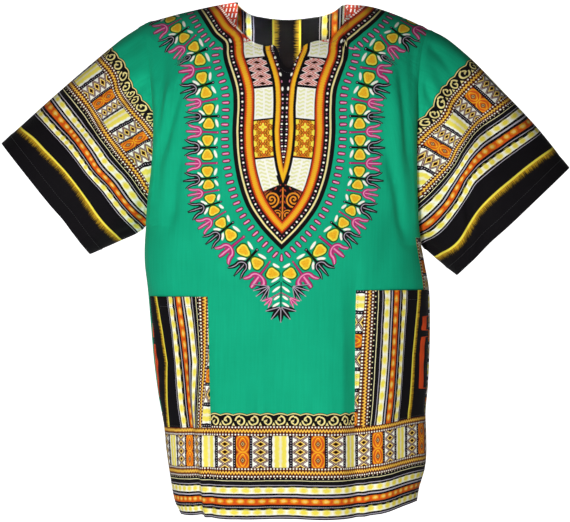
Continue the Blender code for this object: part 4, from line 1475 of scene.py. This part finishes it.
def beside_neck(grid, neck, folds, distance):
    """A line that follows the neckline at a distance."""
    line = np.linspace(NECK_LEFT, NECK_RIGHT, 400)
    edge = np.stack([line, read(neck, "z", line)], axis=1)
    moved = clear_of(edge + distance * sideways(edge), edge, distance * 0.98)
    if grid["side"] == FRONT:
        rise = np.linspace(0, 1, 30)[:, None]
        ends = np.array([[NECK_LEFT - distance, 0.0], [NECK_RIGHT + distance, 0.0]])
        ends[:, 1] = shoulder(ends[:, 0]) - 0.0004
        moved = np.concatenate([ends[0] + (moved[0] - ends[0]) * rise[:-1], moved,
                                moved[-1] + (ends[1] - moved[-1]) * rise[1:]])
    x, level = moved.T
    nominal = x.copy()
    for _ in range(5):
        nominal = nominal - (column_x(nominal, level, grid["side"]) - x)
    spot = patch(nominal[None, :], level[None, :], folds, grid["side"], TURN_RELIEF)
    return spot["points"][0], spot["out"][0]


def round_cuff(grid, distance):
    """A line round a sleeve at a distance from its end."""
    wrapped = {key: np.concatenate([grid[key], grid[key][:, :1]], axis=1)
               for key in ("points", "out")}
    run = run_length(wrapped["points"], 0)
    row = np.array([np.interp(one[-1] - distance, one, np.arange(len(one))) for one in run.T])
    return sample(wrapped, row, np.arange(len(row), dtype=float))


def round_patch(grid, inset, width, height, sides):
    """Lines inside a patch's edges: down one side, along the bottom and up the other."""
    rows, columns = (n - 1 for n in grid["points"].shape[:2])
    u, v = inset / width * columns, rows - inset / height * rows
    steps, still = np.linspace(0, 1, 200), np.zeros(200)
    along = u + (columns - 2 * u) * steps
    lines = {"left": (steps * v, still + u), "low": (still + v, along),
             "right": (v - steps * v, still + columns - u), "top": (still + rows - v, along)}
    return sample(grid, *(np.concatenate([lines[side][k] for side in sides]) for k in (0, 1)))


def stitches(name, lines):
    """Lines of stitches as one mesh of short rounded threads that lie in the cloth."""
    turn = np.linspace(0, 2 * np.pi, STITCH_SIDES, endpoint=False)
    form = STITCH_FORM * (STITCH_LONG, STITCH_RADIUS, STITCH_RADIUS)
    vertices, faces = [], []
    for points, out in lines:
        run = line_length(points)
        for at in np.arange(STITCH_PITCH, run[-1] - STITCH_PITCH / 2, STITCH_PITCH):
            middle, ahead, behind, up = (
                np.array([np.interp(at + step, run, part[:, k]) for k in range(3)])
                for step, part in ((0.0, points), (STITCH_LONG / 2, points),
                                   (-STITCH_LONG / 2, points), (0.0, out)))
            way = ahead - behind
            way = way / np.linalg.norm(way)
            up = up - way * (up @ way)
            up = up / np.linalg.norm(up)
            beside = np.cross(way, up)
            first = len(vertices)
            for a, r, s in form:
                ring = (middle + way * a + up * (STITCH_RISE + s))[None, :] \
                    + r * (np.cos(turn)[:, None] * beside + np.sin(turn)[:, None] * up)
                vertices.extend(ring.tolist())
            for ring in range(first, len(vertices) - STITCH_SIDES, STITCH_SIDES):
                for j in range(STITCH_SIDES):
                    a, b = ring + j, ring + (j + 1) % STITCH_SIDES
                    faces.append((a, b, b + STITCH_SIDES, a + STITCH_SIDES))
            faces.append(tuple(range(first, first + STITCH_SIDES))[::-1])
            faces.append(tuple(range(len(vertices) - STITCH_SIDES, len(vertices))))
    mesh = bpy.data.meshes.new(name)
    mesh.from_pydata(vertices, [], faces)
    mesh.validate()
    mesh.shade_smooth()
    place(name, mesh, "sewing_thread")


# ---------------------------------------------------------------- the studio
CAMERA_PLACE = (-0.0045, -3.0, -0.3675)
BACKDROP_SIZE, BACKDROP_HIGH = 7.0, 4.4
BACKDROP_BACK, BACKDROP_BEND = 6.0, 2.6
WHITE, PAPER = (1.0, 1.0, 1.0, 1.0), (0.86, 0.86, 0.86, 1.0)
WORLD_LIGHT = 0.07
CHEST = (0.0, 0.0, -0.36)
LIGHTS = (                        # name, place, aim, size, power in watts, spread in degrees
    ("key", (-0.9, -2.95, -1.05), CHEST, (0.6, 0.6), 69.0, 180.0),
    ("fill", (1.6, -2.9, -0.5), CHEST, (2.0, 2.0), 10.0, 180.0),
    ("neck", (0.0, -1.1, 0.5), (0.003, 0.07, -0.022), (0.18, 0.05), 0.11, 3.0))


def add_object(name, data):
    thing = bpy.data.objects.new(name, data)
    bpy.context.scene.collection.objects.link(thing)
    return thing


def backdrop(floor):
    """A pale floor that bends up into the backdrop."""
    bend = np.linspace(0, np.pi / 2, 25)
    y = [-BACKDROP_SIZE, *(BACKDROP_BACK - BACKDROP_BEND + BACKDROP_BEND * np.sin(bend)),
         BACKDROP_BACK]
    z = [floor, *(floor + BACKDROP_BEND * (1 - np.cos(bend))), floor + BACKDROP_HIGH]
    points = [(x, *place) for place in zip(y, z) for x in (-BACKDROP_SIZE, BACKDROP_SIZE)]
    faces = [(2 * k, 2 * k + 1, 2 * k + 3, 2 * k + 2) for k in range(len(y) - 1)]
    mesh = bpy.data.meshes.new("backdrop")
    mesh.from_pydata(points, [], faces)
    mesh.shade_smooth()
    thing = add_object("backdrop", mesh)
    for name, glow in (("lit_backdrop", 1.0), ("floor_paper", 0.0)):
        material, _, inputs = new_material(name)
        for slot, value in (("Base Color", PAPER), ("Roughness", 0.9), ("Emission Color", WHITE),
                            ("Emission Strength", glow)):
            feed(value, inputs[slot])
        mesh.materials.append(material)
    mesh.polygons[0].material_index = 1


def lights():
    """Soft studio light: a low broad key, a fill, and a narrow beam into the neck."""
    world = bpy.context.scene.world = bpy.data.worlds.new("studio")
    world.use_nodes = True
    background = world.node_tree.nodes["Background"].inputs
    feed(WHITE, background["Color"])
    feed(WORLD_LIGHT, background["Strength"])
    for name, place_at, aim_at, size, power, spread_of in LIGHTS:
        data = bpy.data.lights.new(name, "AREA")
        data.shape = "RECTANGLE"
        data.size, data.size_y = size
        data.energy = power
        data.spread = np.radians(spread_of)
        lamp = add_object(name, data)
        lamp.location = place_at
        x, y, z = np.array(aim_at) - np.array(place_at)
        lamp.rotation_euler = (np.arctan2(np.hypot(x, y), -z), 0.0, np.arctan2(y, x) - np.pi / 2)


# ---------------------------------------------------------------- settings
class ShirtClothSettings(PropertyGroup):
    thickness: FloatProperty(
        name="Cloth thickness", description="Thickness of the printed cotton", default=CLOTH,
        min=0.0003, max=0.002, unit="LENGTH")


class ShirtSewingSettings(PropertyGroup):
    thread: FloatVectorProperty(
        name="Thread", description="Colour of the hems' thread", default=(0.02, 0.02, 0.022),
        subtype="COLOR", min=0.0, max=1.0)


class ShirtStageSettings(PropertyGroup):
    lens: FloatProperty(
        name="Lens", description="Focal length of the camera in millimetres", default=126.3,
        min=20.0, max=300.0, unit="CAMERA")
    floor_level: FloatProperty(
        name="Floor", description="Level of the studio's floor under the shirt", default=-1.5,
        min=-3.0, max=-0.8, unit="LENGTH")


# ---------------------------------------------------------------- operators
GRIDS = {}


def grids():
    """The panels' and sleeves' grids, made once: the pieces share their seams."""
    if not GRIDS:
        front = panel(FRONT_NECK, FRONT_ROWS, FRONT_SCOOP, FRONT_FOLDS, FRONT)
        back = panel(BACK_NECK, BACK_ROWS, 0, BACK_FOLDS, BACK)
        for name, (side, edge, _) in SLEEVES.items():
            GRIDS[name] = sleeve(edge, front, back, side)
        GRIDS.update(
            front=front, back=back,
            front_fields=panel_fields(front, PLAQUE_EDGE, CHAIN_LINE, CHAIN_STEMS),
            back_fields=panel_fields(back, YOKE_EDGE, YOKE_LINE, YOKE_STEMS),
            front_thick=dress_panel(front, FRONT_NECK, False),
            back_thick=dress_panel(back, BACK_NECK, True))
    return GRIDS


class DASHIKI_OT_inks(Operator):
    """Make the printed cottons and the sewing thread"""
    bl_idname = "dashiki.inks"
    bl_label = "Printed cottons"

    def execute(self, context):
        for build in (cotton_weave, border_print, plaque_print, chain_print, spray_print):
            build()
        for name, draw in (("front", draw_front), ("back", draw_back), ("sleeve", draw_border),
                           ("pocket", draw_border), ("facing", draw_border)):
            cotton(f"printed_{name}", draw)
        thread("sewing_thread", context.scene.shirt_sewing.thread)
        return {"FINISHED"}


class DASHIKI_OT_front(Operator):
    """Build the front: the panel with the plaque, the flower chain and the hem border"""
    bl_idname = "dashiki.front"
    bl_label = "Front"

    def execute(self, context):
        made = grids()
        shell("front_cloth", "front_panel", "front", made["front"], made["front_fields"],
              made["front_thick"], keep=scoop_kept(made["front"]))
        return {"FINISHED"}


class DASHIKI_OT_back(Operator):
    """Build the back panel with its yoke print and hem border"""
    bl_idname = "dashiki.back"
    bl_label = "Back"

    def execute(self, context):
        made = grids()
        shell("back_cloth", "back_panel", "back", made["back"], made["back_fields"],
              made["back_thick"], flip=True)
        return {"FINISHED"}


class DASHIKI_OT_sleeves(Operator):
    """Build the two set-in sleeves"""
    bl_idname = "dashiki.sleeves"
    bl_label = "Sleeves"

    def execute(self, context):
        for name, (side, edge, marks) in SLEEVES.items():
            grid = grids()[name]
            fields = sleeve_fields(grid, edge, marks)
            shell(f"{name}_cloth", name, "sleeve", grid, fields, dress_sleeve(grid),
                  flip=side == RIGHT, closed=True)
        return {"FINISHED"}


class DASHIKI_OT_pockets(Operator):
    """Build the two patch pockets"""
    bl_idname = "dashiki.pockets"
    bl_label = "Patch pockets"

    def execute(self, context):
        for name, setting in POCKETS.items():
            GRIDS[name], fields = pocket(*setting)
            shell(f"{name}_cloth", name, "pocket", GRIDS[name], fields, POCKET_THICK)
        return {"FINISHED"}


class DASHIKI_OT_facing(Operator):
    """Build the facing inside the back of the neck"""
    bl_idname = "dashiki.facing"
    bl_label = "Neck facing"

    def execute(self, context):
        GRIDS["facing"], fields = facing()
        shell("back_neck_facing_cloth", "back_neck_facing", "facing", GRIDS["facing"], fields,
              FACING_THICK)
        return {"FINISHED"}


class DASHIKI_OT_stitches(Operator):
    """Sew the hem, the slits, the cuffs, the neck, the pockets and the facing"""
    bl_idname = "dashiki.stitches"
    bl_label = "Stitches"

    def execute(self, context):
        made = grids()
        stitches("neck_stitches", [
            beside_neck(made["front"], FRONT_NECK, FRONT_FOLDS, NECK_LINE),
            beside_neck(made["back"], BACK_NECK, BACK_FOLDS, NECK_LINE)])
        for name in ("front", "back"):
            grid = made[name]
            stitches(f"{name}_hem_stitches", [
                across_panel(grid, HEM_Z + HEM_LINE, SLIT_LINE),
                *(down_panel(grid, side * (BODY_HALF - SLIT_LINE), SLIT_LINE_TOP, SLIT_LINE_LOW)
                  for side in (LEFT, RIGHT))])
        for name in SLEEVES:
            stitches(f"{name}_cuff_stitches", [round_cuff(made[name], CUFF_LINE)])
        for name, (ends, _, _) in POCKETS.items():
            _, width, height = pocket_size(ends)
            stitches(f"{name}_stitches", [
                round_patch(made[name], POCKET_LINE, width, height, ("left", "low", "right")),
                round_patch(made[name], MOUTH_LINE, width, height, ("top",))])
        stitches("facing_stitches", [
            round_patch(made["facing"], FACING_LINE, NECK_RIGHT - NECK_LEFT, FACING_HIGH,
                        ("low",))])
        return {"FINISHED"}


class DASHIKI_OT_sheets(Operator):
    """An empty step meant for the pieces' sizes when laid flat; it does nothing."""
    bl_idname = "dashiki.sheets"
    bl_label = "Cut sizes"

    def execute(self, context):
        return {"FINISHED"}


class DASHIKI_OT_studio(Operator):
    """Set the pale floor and backdrop, the soft lights and the camera"""
    bl_idname = "dashiki.studio"
    bl_label = "Studio"

    def execute(self, context):
        settings = context.scene.shirt_stage
        backdrop(settings.floor_level)
        lights()
        data = bpy.data.cameras.new("camera")
        data.lens = settings.lens
        data.sensor_width = 36.0
        data.clip_end = 30.0
        camera = context.scene.camera = add_object("camera", data)
        camera.location = CAMERA_PLACE
        camera.rotation_euler = (np.pi / 2, 0.0, 0.0)
        context.scene.view_settings.view_transform = "Standard"
        return {"FINISHED"}


OPERATORS = (DASHIKI_OT_inks, DASHIKI_OT_front, DASHIKI_OT_back, DASHIKI_OT_sleeves,
             DASHIKI_OT_pockets, DASHIKI_OT_facing, DASHIKI_OT_stitches, DASHIKI_OT_sheets,
             DASHIKI_OT_studio)
SETTINGS = {"shirt_cloth": ShirtClothSettings, "shirt_sewing": ShirtSewingSettings,
            "shirt_stage": ShirtStageSettings}


class DASHIKI_PT_pieces(Panel):
    """Lists the shirt's settings and pieces"""
    bl_label = "Dashiki shirt"
    bl_idname = "DASHIKI_PT_pieces"
    bl_space_type = "VIEW_3D"
    bl_region_type = "UI"
    bl_category = "Shirt"

    def draw(self, context):
        for name, kind in SETTINGS.items():
            box = self.layout.box()
            for prop in kind.__annotations__:
                box.prop(getattr(context.scene, name), prop)
        for kind in OPERATORS:
            self.layout.operator(kind.bl_idname)


def register():
    for kind in (*SETTINGS.values(), *OPERATORS, DASHIKI_PT_pieces):
        bpy.utils.register_class(kind)
    for name, kind in SETTINGS.items():
        setattr(bpy.types.Scene, name, PointerProperty(type=kind))


def unregister():
    for name in SETTINGS:
        delattr(bpy.types.Scene, name)
    for kind in (DASHIKI_PT_pieces, *reversed(OPERATORS), *reversed(SETTINGS.values())):
        bpy.utils.unregister_class(kind)


def main():
    register()
    for kind in OPERATORS:
        getattr(bpy.ops.dashiki, kind.bl_idname.partition(".")[2])()


if __name__ == "__main__":
    main()
